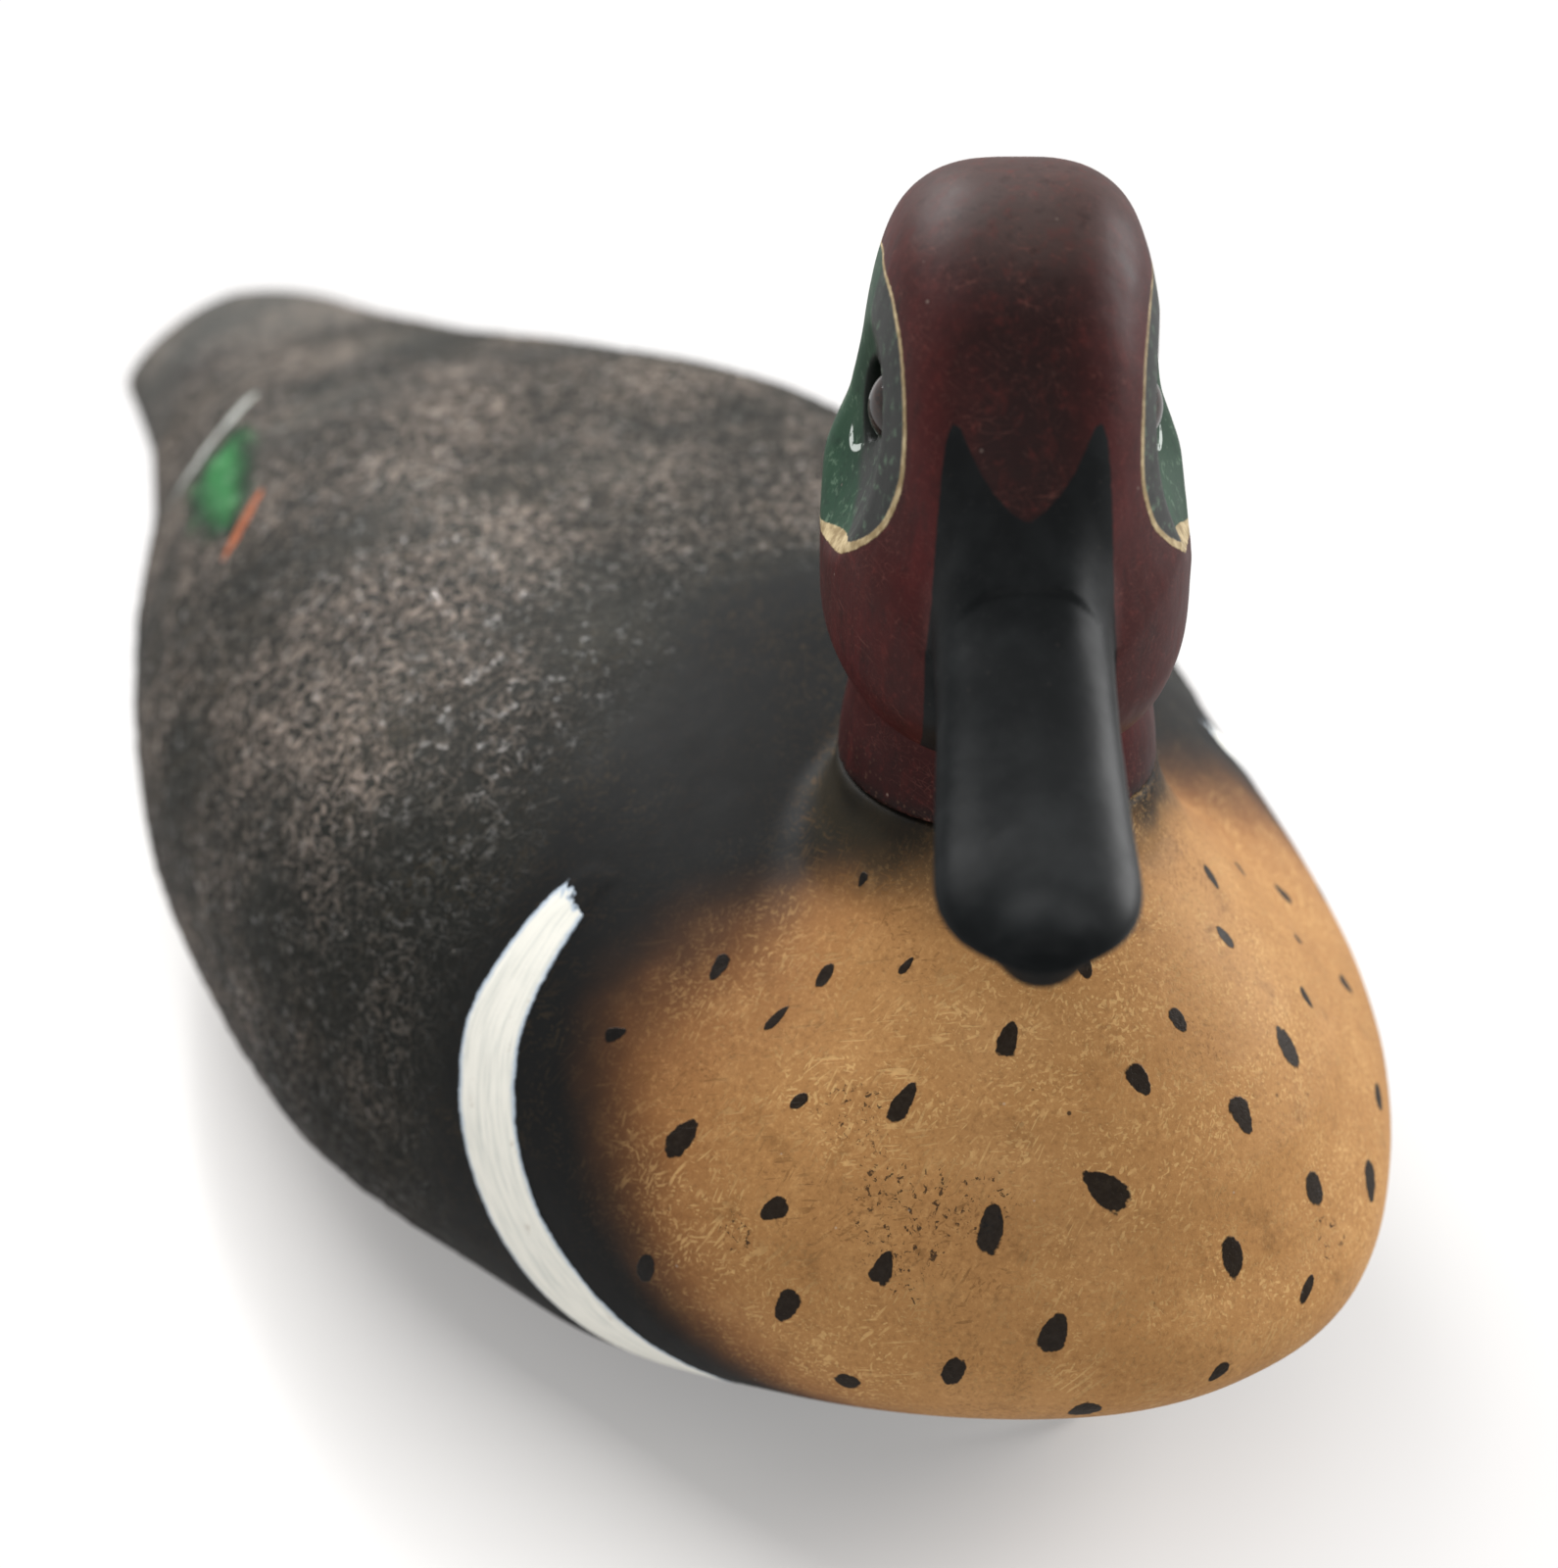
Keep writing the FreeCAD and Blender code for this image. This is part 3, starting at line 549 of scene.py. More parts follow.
# Edges of the white shoulder bar, as (y, z) in side view
BAR_REAR = [(-66.4, 70.2), (-65.0, 68.2), (-64.5, 65.4), (-64, 58.9), (-63.7, 53.1),
            (-65.2, 46.4), (-66.6, 40.4), (-69.2, 33.2), (-72.5, 27.6), (-78.3, 20.6),
            (-84, 15.5), (-90, 13), (-98, 11.5)]
BAR_FRONT = [(-69.3, 69.8), (-69.6, 66.4), (-70.3, 62.9), (-70.9, 57.9), (-71.8, 52.8),
             (-73.6, 47.6), (-76, 41.8), (-79.8, 34.9), (-85.3, 29.5), (-92.4, 24.2), (-99, 19.5)]
# Wing marks, as (x, y) from above: pale line, green patch and cinnamon line
WING_LINE = [(20.6, 79.2), (28.2, 73.6), (33.3, 70.6), (38.2, 68.4), (43, 68.0)]
GREEN = [(27.9, 67.7), (32.8, 66.2), (38.6, 63.4), (42.4, 57), (45.6, 46), (47.4, 35),
         (45.2, 29.6), (42, 33), (38.1, 38.5), (33, 49.9), (29.4, 60)]
CINNAMON = [(38.5, 34.4), (41.9, 30.9), (45.6, 27.6), (49.0, 25.0)]


def breast_paint(pts, off, inward):
    z = pts[:, 2]
    tan = Paint(len(pts), (163, 119, 72))
    tan.coat((180, 136, 88), ease(0.2 + layered(pts, 16, seed=31)) * 0.8)
    tan.coat((140, 98, 56), ease(-0.1 + layered(pts, 11, seed=37)) * 0.6)
    tan.coat((116, 70, 39), ease((26 - inward) / 24) * ease((off - 8) / 26) * 0.9)
    tan.coat((84, 56, 34), ease((15 - inward) / 16) * 0.7)
    tan.coat((146, 112, 74), ease((22 - z) / 20) * 0.5)
    return tan


def spot_marks(pts, normal):
    """Place in the nearest spot: along and across it, distance past its end, its number."""
    best = np.full(len(pts), 1e9)
    mark_a, mark_b, mark_r, reach = np.zeros((4, len(pts)))
    for k, row in enumerate(SPOTS):
        length, width = row[6:]
        rel = pts - row[:3]
        dist = np.sqrt((rel ** 2).sum(1))
        closer = dist < np.minimum(best, 9)
        if not closer.any():
            continue
        facing = normal[np.argmin(dist)]
        along = row[3:6] - row[3:6] @ facing * facing
        along = along / np.linalg.norm(along)
        across = np.cross(facing, along)
        mark_a = np.where(closer, rel @ along / (length / 2 - 0.10), mark_a)
        mark_b = np.where(closer, rel @ across / (width / 2 - 0.06), mark_b)
        reach = np.where(closer, length / 2, reach)
        mark_r = np.where(closer, (k * 0.618) % 1, mark_r)
        best = np.minimum(best, dist)
    return {"spot_a": mark_a, "spot_b": mark_b, "spot_d": np.minimum(best, 20) - reach,
            "spot_r": mark_r}


def bar_marks(pts, off):
    """White shoulder bar; on the left it sits a little further forward and lower."""
    flat = pts[:, 1:] + np.where(pts[:, 0] > 0, 1, 0)[:, None] * np.array([[5.0, 4.5]])
    rear, front = rounded(BAR_REAR), rounded(BAR_FRONT)
    bar = np.where(off > 26, signed(flat, rear + front[::-1]), -9)
    to_rear, arc = polyline(flat, rear)
    to_front = polyline(flat, front)[0]
    return {"bar": np.clip(bar, -9, 9), "bar_s": arc,
            "bar_t": to_rear / np.maximum(to_rear + to_front, 1e-3)}


def wing_marks(pts, off):
    above = np.stack([off, pts[:, 1]], 1)
    high = pts[:, 2] > 50
    dist, arc = polyline(above, rounded(WING_LINE))
    line = 0.95 * ease(arc / 4.0) * ease((27 - arc) / 9) + 0.05 - dist
    green = signed(above, GREEN)
    dist, arc = polyline(above, CINNAMON)
    cinnamon = 0.95 * ease((arc + 0.8) / 3) * ease((14.6 - arc) / 4) + 0.1 - dist
    return {"wline": np.where(high, line, -9), "green": np.where(high, green, -9),
            "cinn": np.where(high, cinnamon, -9)}


def paint_body(pts, normal):
    """Colours and signed masks of the painted body at each vertex."""
    x, y, z = pts.T
    off = np.abs(x)
    wobble = layered(pts, 9, seed=3) * 2.4 + layered(pts, 2.6, seed=5, layers=2) * 0.8
    inward = (np.interp(z, BREAST_Z, BREAST_Y) - y + np.where(x > 0, -1.5, 0)) + wobble
    cape = y - np.interp(off, CAPE_X, CAPE_Y)
    mottle = layered(pts, 22, seed=11)
    fine = layered(pts, 4.5, seed=12, layers=2)
    paint = Paint(len(pts), (17, 18, 18))
    # painted sheen: the black turns a patchy lighter grey higher up, as light from above falls on
    # it
    paint.coat((34, 34, 33), 0.45 * ease(0.5 + 0.6 * mottle) * ease((z - 30) / 40))
    # back and flanks; the patchy lighter grey higher up is a painted highlight and the darker lower
    # flank is painted shade
    back = ease((cape + 6 + 5 * mottle) / 16)
    paint.coat((38, 39, 36), back)
    patchy = ease(0.10 + 0.9 * layered(pts, 26, seed=21))
    paint.coat((68, 67, 62), back * patchy * ease((z - 40) / 36))
    paint.coat((32, 30, 29), back * ease((46 - z) / 40) * 0.75)
    # smooth tail, with painted shade in the concave valley on each side
    tail = ease((y - 96 + 4 * mottle) / 16)
    paint.coat((74, 74, 71), tail * ease((z - 38) / 14))
    valley_shade = np.exp(-(((off - 20) / 8) ** 2 + ((y - 109) / 9) ** 2)) * ease((z - 45) / 8)
    paint.coat((34, 33, 32), 0.8 * valley_shade)
    paint.coat(breast_paint(pts, off, inward), ease((inward + 4.0) / 19.0))
    # painted shade: the concave neck seat darkens towards the neck, darkest in the crease at its
    # foot
    radius = np.hypot(x, y - NECK_Y)
    paint.coat((48, 42, 30), ease((23.5 - radius + 1.6 * fine) / 6.0) * 0.85)
    paint.coat((14, 14, 13), ease((20.0 - radius + 1.2 * fine) / 3.0) * 0.95)
    under = ease((4.0 - z) / 3.0) * ease((-normal[:, 2] - 0.3) / 0.4)
    paint.coat((40, 38, 35), under)
    worn = sum(np.exp(-((pts - np.array(row[:3])) ** 2).sum(1) / row[3] ** 2) for row in WORN)
    return {"base": paint.rows, "under": under, "breast": inward,
            "cape": cape - 1.5 + 4 * mottle,
            "ring": ease((25 - radius) / 8) * ease((radius - 19.2) / 2),
            "worn": np.minimum(worn, 1),
            **spot_marks(pts, normal), **bar_marks(pts, off), **wing_marks(pts, off)}


# Head marks, as (y, z) in side view: the face patch's front, lower and upper edges,
# the front of its slate part and the small mark under the eye
FACE_FRONT = [(-1.5, 58.6), (6.4, 57.8), (10, 56.1), (13.3, 53.4), (15.6, 50.2), (17.2, 46.7),
              (18.1, 42.9), (18, 39.1), (16.8, 35.2), (14.9, 32.6), (11.7, 30.3), (7.3, 28.6),
              (2.4, 27.6)]
FACE_LOW = [(-5, 26.4), (-12, 24.4), (-18, 21.6), (-24, 18.8), (-27.5, 17)]
FACE_UP = [(-33, 16.5), (-34, 32), (-28, 33), (-25.5, 40), (-21, 47.5), (-15, 53.5), (-8, 57.2)]
SLATE = [(3.4, 60), (3.0, 55.9), (2.4, 52.8), (1.2, 48.8), (0.0, 43.8), (-0.4, 38.5),
         (2.6, 34.0), (9.0, 30.5)]
EYE_MARK = [(-4.6, 38.6), (-4.3, 37.0), (-3.1, 35.6), (-1.9, 36.0), (-0.7, 37.2)]
# Black of the bill with two points running up the forehead, as (x, z) from the front
HORN = [(0, 41.0), (1.6, 41.9), (3.2, 43.4), (4.6, 45.2), (5.7, 47.3), (6.5, 48.9), (7.3, 49.2),
        (7.9, 47.4), (8.3, 44.0), (8.6, 40), (8.8, 36), (9.1, 31), (9.6, 26), (9.6, 10), (0, 10)]


def head_ground(pts, off):
    x, y, z = pts.T
    streak = layered(pts * np.array([1, 1, 0.28]), 3.2, seed=41)
    mottle = layered(pts, 12, seed=42)
    paint = Paint(len(pts), (54, 20, 19))
    paint.coat((72, 18, 19), ease(0.2 + 1.1 * mottle) * ease((off - 5) / 6) * 0.75)
    paint.coat((42, 20, 19), ease(0.1 + 0.8 * streak) * 0.5)
    # painted shade: darker over the front of the head, near the middle and above the bill
    paint.coat((30, 17, 16), ease((8.5 - off) / 6) * ease((y + 2) / 10)
               * ease((z - 33) / 8) * 0.8)
    # painted sheen: the crown turns a lighter grey towards the top
    paint.coat((66, 52, 49), ease((z - 59 + 3 * mottle + 0.10 * y) / 9) * 0.85)
    paint.coat((44, 36, 35), ease((-y - 12 + 4 * mottle) / 12) * ease((z - 26) / 14) * 0.5)
    # painted shade: the neck darkens low down, darkest at its foot on the seat
    paint.coat((36, 15, 15), ease((12 - z) / 10) * 0.6)
    paint.coat((28, 18, 17), ease((2.2 - z + 0.6 * streak) / 1.6) * 0.85)
    return paint.rows


def face_paint(pts):
    y, z = pts[:, 1:].T
    edge_y, edge_z = np.array(rounded(SLATE))[::-1].T
    slate = ease((y - np.interp(z, edge_z, edge_y) + 2.0 + 1.6 * lumps(pts, 4, seed=48)) / 2.6)
    paint = Paint(len(pts), (33, 58, 43))
    paint.coat((56, 84, 64), ease(0.2 + layered(pts, 7, seed=51)) * 0.5)
    paint.coat((28, 42, 36), ease(0.1 + layered(pts, 5, seed=53)) * 0.5)
    paint.coat((50, 51, 50), slate)
    paint.coat((30, 44, 38), ease((-y - 6) / 14) * 0.7)
    return paint.rows


def paint_head(pts):
    """Colours and signed masks of the painted head at each vertex."""
    x, y, z = pts.T
    off = np.abs(x)
    flat = pts[:, 1:]
    patch = signed(flat, rounded(FACE_FRONT + FACE_LOW) + FACE_UP)
    # the pale edge is thickest at the bottom and thins towards the top
    bottom = np.exp(-((y - 6) / 6.0) ** 2) * ease((36 - z) / 6)
    edge = 0.72 + 1.2 * bottom - 0.30 * ease((z - 40) / 12) + 0.12 * lumps(pts, 5, seed=47)
    horn = np.where(y > 15, signed(np.stack([off, z], 1), HORN), -4)
    # parts of the bill that stand out from the skull
    proud = np.minimum(metric(skull_raw, pts) - 0.5, 0.45 - metric(bill_raw, pts))
    proud = np.where((y > 19) & (z > 9), proud, -9)
    proud = np.where((y > 34) & (z > 8), 4, proud)
    bill = np.clip(np.maximum(horn, proud), -4, 4)
    dist, arc = polyline(flat, rounded(EYE_MARK))
    # duller parts of the bill
    tip = ease((y - 59.5) / 2.5) * ease((19.5 - z) / 3)
    root = 0.60 * ease((46 - y) / 16) * ease((y - 15) / 4)
    flank = 0.84 * ease((0.5 - x) / 6) * ease((y - 22) / 6)
    return {"patch": np.clip(patch, -8, 8), "edge_w": edge, "patch_c": face_paint(pts),
            "base": head_ground(pts, off), "bill": bill,
            "vmark": 0.36 * ease(arc / 2.6) * ease((6.4 - arc) / 1.6) + 0.05 - dist,
            "lid": np.clip(-almond(pts), -4, 4),
            # painted shade at the rear of the eye opening
            "orbit": np.exp(-(((y + 1.2) / 3.2) ** 2 + ((z - 42.2) / 5.4) ** 2)),
            "low": ease((9 - z) / 8),
            "tip": np.maximum(tip, np.where(bill > -1, np.maximum(root, flank), 0))}


# ---- Materials
class Signal:
    """A shader output; arithmetic on it adds Math nodes."""

    def __init__(self, tree, socket):
        self.tree = tree
        self.socket = socket

    def math(self, operation, other=0.0, swap=False):
        first, second = (other, self) if swap else (self, other)
        return self.tree.node("Math", {0: first, 1: second}, operation=operation)

    __add__ = lambda self, other: self.math("ADD", other)
    __radd__ = lambda self, other: self.math("ADD", other, swap=True)
    __sub__ = lambda self, other: self.math("SUBTRACT", other)
    __rsub__ = lambda self, other: self.math("SUBTRACT", other, swap=True)
    __mul__ = lambda self, other: self.math("MULTIPLY", other)
    __truediv__ = lambda self, other: self.math("DIVIDE", other)
    __pow__ = lambda self, other: self.math("POWER", other)
    __abs__ = lambda self: self.math("ABSOLUTE")
    max = lambda self, other: self.math("MAXIMUM", other)

    def span(self, start, end, low, high, interpolation="LINEAR"):
        """Map start..end onto low..high."""
        return self.tree.node("MapRange", {0: self, 1: start, 2: end, 3: low, 4: high},
                              interpolation_type=interpolation)

    def rise(self, start, end):
        """Smooth step: 0 at start, 1 at end."""
        return self.span(start, end, 0, 1, "SMOOTHSTEP")

    def line(self, width):
        """1 where the value is close to a half."""
        return abs(self - 0.5).rise(width, width * 0.25)


class Tree:
    """A material whose colour is built up in coats. Tuples are sRGB, lists are linear."""

    def __init__(self, name):
        self.material = bpy.data.materials.new(name)
        self.material.use_nodes = True
        self.nodes = self.material.node_tree.nodes
        self.links = self.material.node_tree.links
        self.nodes.clear()
        self.output = self.nodes.new("ShaderNodeOutputMaterial")
        self.shader = self.nodes.new("ShaderNodeBsdfPrincipled")
        self.links.new(self.shader.outputs[0], self.output.inputs[0])
        self.coords = self.node("TexCoord", output="Object")

    def put(self, socket, value):
        if isinstance(value, Signal):
            self.links.new(value.socket, socket)
        elif socket.type == "RGBA":
            rgb = linear(value) if isinstance(value, tuple) else value
            socket.default_value = [float(part) for part in rgb] + [1.0]
        else:
            socket.default_value = value

    def node(self, kind, inputs={}, output=0, **settings):
        node = self.nodes.new("ShaderNode" + kind)
        for key, value in settings.items():
            setattr(node, key, value)
        for key, value in inputs.items():
            self.put(node.inputs[key], value)
        return Signal(self, node.outputs[output])

    def attr(self, name, output="Fac"):
        return self.node("Attribute", output=output, attribute_name=name)

    def mix(self, factor, first, second, mode="MIX"):
        return self.node("Mix", {0: factor, 6: first, 7: second}, output=2,
                         data_type="RGBA", blend_type=mode, clamp_factor=True)

    def coat(self, mask, colour):
        self.colour = self.mix(mask, self.colour, colour)

    def place(self, scale=(1, 1, 1), turn=(0, 0, 0), vector=None):
        return self.node("Mapping", {"Vector": vector or self.coords, "Scale": scale,
                                     "Rotation": turn})

    def turned(self, turn, scale):
        """Rotate, then stretch."""
        return self.place(scale, vector=self.place(turn=turn))

    def noise(self, scale, detail=2.0, rough=0.5, vector=None, distort=0.0):
        return self.node("TexNoise", {
            "Vector": vector or self.coords, "Scale": scale, "Detail": detail,
            "Roughness": rough, "Distortion": distort})

    def cells(self, scale):
        return self.node("TexVoronoi", {"Vector": self.coords, "Scale": scale})

    def vector(self, x, y, z):
        return self.node("CombineXYZ", {0: x, 1: y, 2: z})

    def bump(self, height, strength, depth, normal=None):
        inputs = {"Strength": strength, "Distance": depth, "Height": height}
        if normal is not None:
            inputs["Normal"] = normal
        return self.node("Bump", inputs)

    def finish(self, **inputs):
        """Set the shader's inputs; underscores stand for spaces."""
        inputs["Base_Color"] = self.colour
        for key, value in inputs.items():
            self.put(self.shader.inputs[key.replace("_", " ")], value)
        return self.material


def body_paint():
    tree = Tree("painted_body_mat")
    noise, mix, attr, coat = tree.noise, tree.mix, tree.attr, tree.coat
    tree.colour = base = attr("base", "Color")
    cape = attr("cape")
    back, tan = cape.rise(-5, 7), attr("breast").rise(0, 16)
    # raised curly strokes over the back and flanks, dry-brushed
    wave1 = noise(330, detail=1, rough=0.45, distort=1.6)
    wave2 = noise(470, detail=1, rough=0.45, vector=tree.place(turn=(0.4, 0.9, 0.3)),
                  distort=1.4)
    curl = wave1.line(0.050).max(wave2.line(0.040) * 0.85) * back
    grit = noise(1700, rough=0.6)
    patchy = noise(38, detail=3, rough=0.55) + grit * 0.35
    coat(back * (1.0 - curl) * 0.50, mix(1.0, base, [0.42, 0.41, 0.40], "MULTIPLY"))
    coat(curl * cape.rise(-3, 26) * patchy.rise(0.54, 0.84) * 0.80, (148, 133, 122))
    coat(curl * 0.20, (96, 92, 86))
    glint = curl * noise(520, rough=0.6).rise(0.54, 0.66)
    # fine hair lines in the breast paint, both lighter and darker
    strands = []
    turns = ((0.3, 0.2, 0.5), (-0.6, 0.9, 1.4), (0.9, -0.5, 2.3), (1.4, 0.4, -0.7), (0.1, 1.3, 2.9))
    for k, (x, y, z) in enumerate(turns):
        strand = noise(2300 + 260 * k, detail=0, vector=tree.turned((x, y, z), (1, 0.085, 1)))
        gate = noise(190 + 25 * k, rough=0.6, vector=tree.place(turn=(y, z, x)))
        strands.append(strand.rise(0.64, 0.72) * gate.rise(0.44, 0.62))
    hair = reduce(Signal.max, strands)
    tan_hair = hair * tan.max(0.05)
    coat(tan_hair * 0.50, mix(noise(55).rise(0.38, 0.62), (104, 70, 36), (214, 176, 118)))
    mottle = noise(210, detail=4, rough=0.62)
    grain = noise(1500, detail=3, rough=0.7)
    for source, start, end, weight, colour in (
            (mottle, 0.52, 0.78, 0.30, (192, 150, 98)), (mottle, 0.44, 0.24, 0.40, (104, 70, 36)),
            (grain, 0.52, 0.68, 0.22, (214, 170, 112)), (grain, 0.47, 0.33, 0.26, (96, 64, 36))):
        coat(tan * (source.rise(start, end) * weight), colour)
    # scattered dark flecks, dense in a few worn places
    flecks = ((tree.cells(760) + grit * 0.12).rise(0.30, 0.20)
              * noise(52, detail=3, rough=0.65).rise(0.62, 0.70))
    worn = (noise(1250, detail=3, rough=0.72, distort=0.6).rise(0.575, 0.635)
            * (attr("worn") + (noise(330, rough=0.6) - 0.5) * 1.1).rise(0.40, 0.62))
    coat(flecks.max(worn) * tan * 0.85, (40, 28, 20))
    # ring round the neck seat
    ring = attr("ring")
    gate = ring * noise(240, rough=0.6).rise(0.48, 0.64)
    coat(tree.cells(900).rise(0.26, 0.12) * gate * 0.4, (128, 98, 58))
    coat(hair * ring * 0.28, (140, 102, 56))
    # ragged, tapering spots
    along = attr("spot_a")
    taper = 1.0 + along * (attr("spot_r") - 0.5) * 0.9
    across = attr("spot_b") * taper
    radius = (abs(along) ** 2.0 + abs(across) ** 2.0).math("SQRT")
    ragged = radius + (noise(900, rough=0.6) - 0.5) * 0.55
    spot = ragged.rise(1.07, 0.93) * attr("spot_d").rise(1.3, 0.7)
    coat(spot * 0.97, mix(noise(1400, rough=0.6).rise(0.35, 0.75), (10, 10, 10), (26, 24, 22)))
    # white bar with brush streaks, a bluish thin edge and a blunt top
    bar_s = attr("bar_s")
    streak = noise(2.2, detail=3, rough=0.6,
                   vector=tree.vector(bar_s * 0.05, attr("bar_t") * 6.0, 0.0))
    edge = attr("bar") + (noise(520, detail=3, rough=0.65) - 0.5) * 0.75
    brush = noise(900, rough=0.6, vector=tree.turned((0.2, 0.1, 0.3), (1, 1, 0.25)))
    blunt = bar_s - 2.3 + (brush - 0.5) * 3.4
    edge = edge.math("MINIMUM", blunt * 0.8)
    white = edge.rise(-0.10, 0.16)
    colour = mix(streak.rise(0.42, 0.70), (238, 236, 226), (214, 215, 207))
    colour = mix(edge.rise(0.75, 0.1), colour, (176, 190, 204))
    stain = noise(260, detail=3, rough=0.6).rise(0.66, 0.76) * 0.6
    coat(white, mix(stain, colour, (150, 130, 104)))
    # wing marks
    soft = (noise(300, detail=3, rough=0.6) - 0.5) * 1.6
    green = attr("green")
    colour = mix((green + soft * 1.5).rise(0.6, 5.0), (18, 40, 25), (40, 108, 58))
    sheen = noise(240, vector=tree.place((1, 0.3, 1))).rise(0.5, 0.75) * 0.5
    coat((green + soft).rise(-1.2, 1.8) * 0.93, mix(sheen, colour, (96, 158, 104)))
    coat((attr("wline") + soft * 0.12).rise(-0.08, 0.22) * 0.9, (186, 190, 184))
    coat((attr("cinn") + soft * 0.15).rise(-0.1, 0.3) * 0.95, (156, 88, 56))
    # underside: dull primer with rub marks
    rub = noise(80, detail=4, rough=0.65, vector=tree.place((1, 0.2, 1)))
    coat(attr("under") * rub.rise(0.54, 0.72), (86, 78, 66))
    dust = tree.cells(260).rise(0.055, 0.03) * noise(90, detail=1).rise(0.52, 0.62)
    coat(dust * 0.35, (190, 180, 165))
    height = (curl * 1.0 + grit * 0.10 + noise(1000, detail=3, rough=0.65) * tan * 0.30
              + tan_hair * -0.10 + white * (0.55 + streak * 0.4) + spot * 0.30)
    normal = tree.bump(height, strength=0.95, depth=0.00022)
    return tree.finish(
        Roughness=0.50 + mottle * 0.18 + back * 0.10 - spot * 0.10 - glint * 0.34,
        Normal=tree.bump(noise(150), strength=0.35, depth=0.0004, normal=normal),
        Specular_IOR_Level=0.11 + glint * 0.55)


def head_paint():
    tree = Tree("painted_head_mat")
    noise, mix, attr, coat = tree.noise, tree.mix, tree.attr, tree.coat
    tree.colour = attr("base", "Color")
    grain = noise(420, detail=4, rough=0.62, vector=tree.place((1, 1, 0.30)))
    fine = noise(1500, detail=3, rough=0.65)
    coat(grain.rise(0.52, 0.74) * 0.34, (84, 32, 28))
    coat(grain.rise(0.46, 0.28) * 0.45, (27, 13, 12))
    coat(fine.rise(0.60, 0.74) * 0.16, (112, 78, 70))
    scuffs = []
    for k, turn in enumerate(((0.2, 1.1, 0.4), (1.2, -0.4, 1.9), (-0.7, 0.6, 2.7))):
        scuff = noise(1250 + 110 * k, detail=0, vector=tree.turned(turn, (1, 0.12, 1)))
        gate = noise(170 + 30 * k, detail=1)
        scuffs.append(scuff.line(0.016) * gate.rise(0.48, 0.64))
    coat(reduce(Signal.max, scuffs) * 0.34, (112, 68, 60))
    blot = noise(700, detail=4, rough=0.7)
    coat(blot.rise(0.54, 0.70) * 0.30, (94, 40, 36))
    coat(blot.rise(0.45, 0.30) * 0.35, (26, 12, 12))
    # face patch with a pale edge
    rag = (noise(1100, detail=3, rough=0.6) - 0.5) * 0.34
    ragged = attr("patch") + rag
    face = mix(noise(800, detail=3, rough=0.65).rise(0.54, 0.72) * 0.50,
               attr("patch_c", "Color"), (96, 118, 98))
    face = mix(noise(500, detail=3, rough=0.6).rise(0.48, 0.30) * 0.35, face, (24, 34, 30))
    inner = (ragged - attr("edge_w")).rise(-0.10, 0.10)
    patch = ragged.rise(-0.10, 0.10)
    coat(patch, mix(noise(600, detail=3, rough=0.6).rise(0.35, 0.7), (132, 114, 82),
                    (182, 164, 128)))
    coat(inner, face)
    # pale mark under the eye; painted shade behind the eye and in the opening between the lids
    mark = (attr("vmark") + rag * 0.35).rise(-0.05, 0.14)
    coat(mark * inner * noise(1300, rough=0.6).rise(0.30, 0.46), (188, 196, 190))
    coat(attr("orbit") * inner * 0.75, (16, 30, 20))
    coat((attr("lid") + rag).rise(-1.0, -0.25) * 0.9, (10, 14, 11))
    bill = (attr("bill") + rag * 0.6).rise(-0.10, 0.12)
    black = mix(noise(120, detail=3, rough=0.6).rise(0.4, 0.7), (17, 19, 20), (27, 29, 30))
    coat(bill, mix(fine.rise(0.58, 0.72) * 0.18, black, (48, 48, 47)))
    # dust, and specks low on the neck
    dust = tree.cells(330).rise(0.070, 0.040) * noise(110, detail=1).rise(0.52, 0.60)
    coat(dust * (1.0 - bill * 0.9) * 0.40, (150, 134, 124))
    specks = tree.cells(1100).rise(0.26, 0.14) * attr("low")
    coat(specks * (1.0 - bill) * 0.14, (140, 110, 90))
    skin_rough = 0.40 + grain * 0.20
    bill_rough = 0.40 + noise(300, detail=3, rough=0.6) * 0.10
    rough = mix(bill, tree.vector(*[skin_rough] * 3), tree.vector(*[bill_rough] * 3))
    height = ((grain * 0.5 + fine * 0.25) * (1.0 - bill * 0.75) + bill * 0.25
              + (patch - inner) * 0.45 + mark * 0.3)
    normal = tree.bump(height, strength=0.7, depth=0.00012)
    return tree.finish(
        Roughness=tree.node("SeparateXYZ", {0: rough}),
        Normal=tree.bump(noise(240), strength=0.22, depth=0.0003, normal=normal),
        Specular_IOR_Level=0.13 + bill * 0.03 - attr("tip") * bill * 0.12)


def lid_paint():
    tree = Tree("eye_rim_mat")
    fine = tree.noise(900, detail=3, rough=0.65)
    # dark paint on the lids, with painted shade darkening them most at the opening
    tree.colour = tree.mix(fine.rise(0.45, 0.7), (10, 13, 11), (24, 30, 25))
    outer = tree.mix(fine.rise(0.45, 0.7), (34, 42, 37), (56, 62, 56))
    tree.coat(tree.attr("rim").rise(1.5, 2.6), outer)
    return tree.finish(Roughness=fine.span(0, 1, low=0.35, high=0.6),
                       Normal=tree.bump(fine, strength=0.5, depth=0.0001))


def eye_glass():
    """Dark pupil in a brown iris with radial streaks, under a clear coat."""
    tree = Tree("eye_glass_mat")
    radius = tree.attr("iris")
    streak = tree.noise(5.0, rough=0.6,
                        vector=tree.vector(tree.attr("angle") * 3.2, radius * 0.4, 0.0))
    tree.colour = tree.mix(streak.rise(0.35, 0.7), (20, 12, 9), (46, 24, 15))
    tree.coat(radius.rise(2.9, 3.5), (14, 9, 8))
    pupil = (radius + streak * 0.15).rise(2.0, 1.85)
    tree.colour = tree.mix(pupil, tree.colour, (5, 5, 6))
    smear = tree.noise(420, detail=3, rough=0.6)
    return tree.finish(Roughness=smear.span(0.3, 0.8, low=0.04, high=0.16), Coat_Weight=0.30,
                       Coat_Roughness=0.03, Specular_IOR_Level=0.42,
                       Normal=tree.bump(smear, strength=0.04, depth=0.0002))


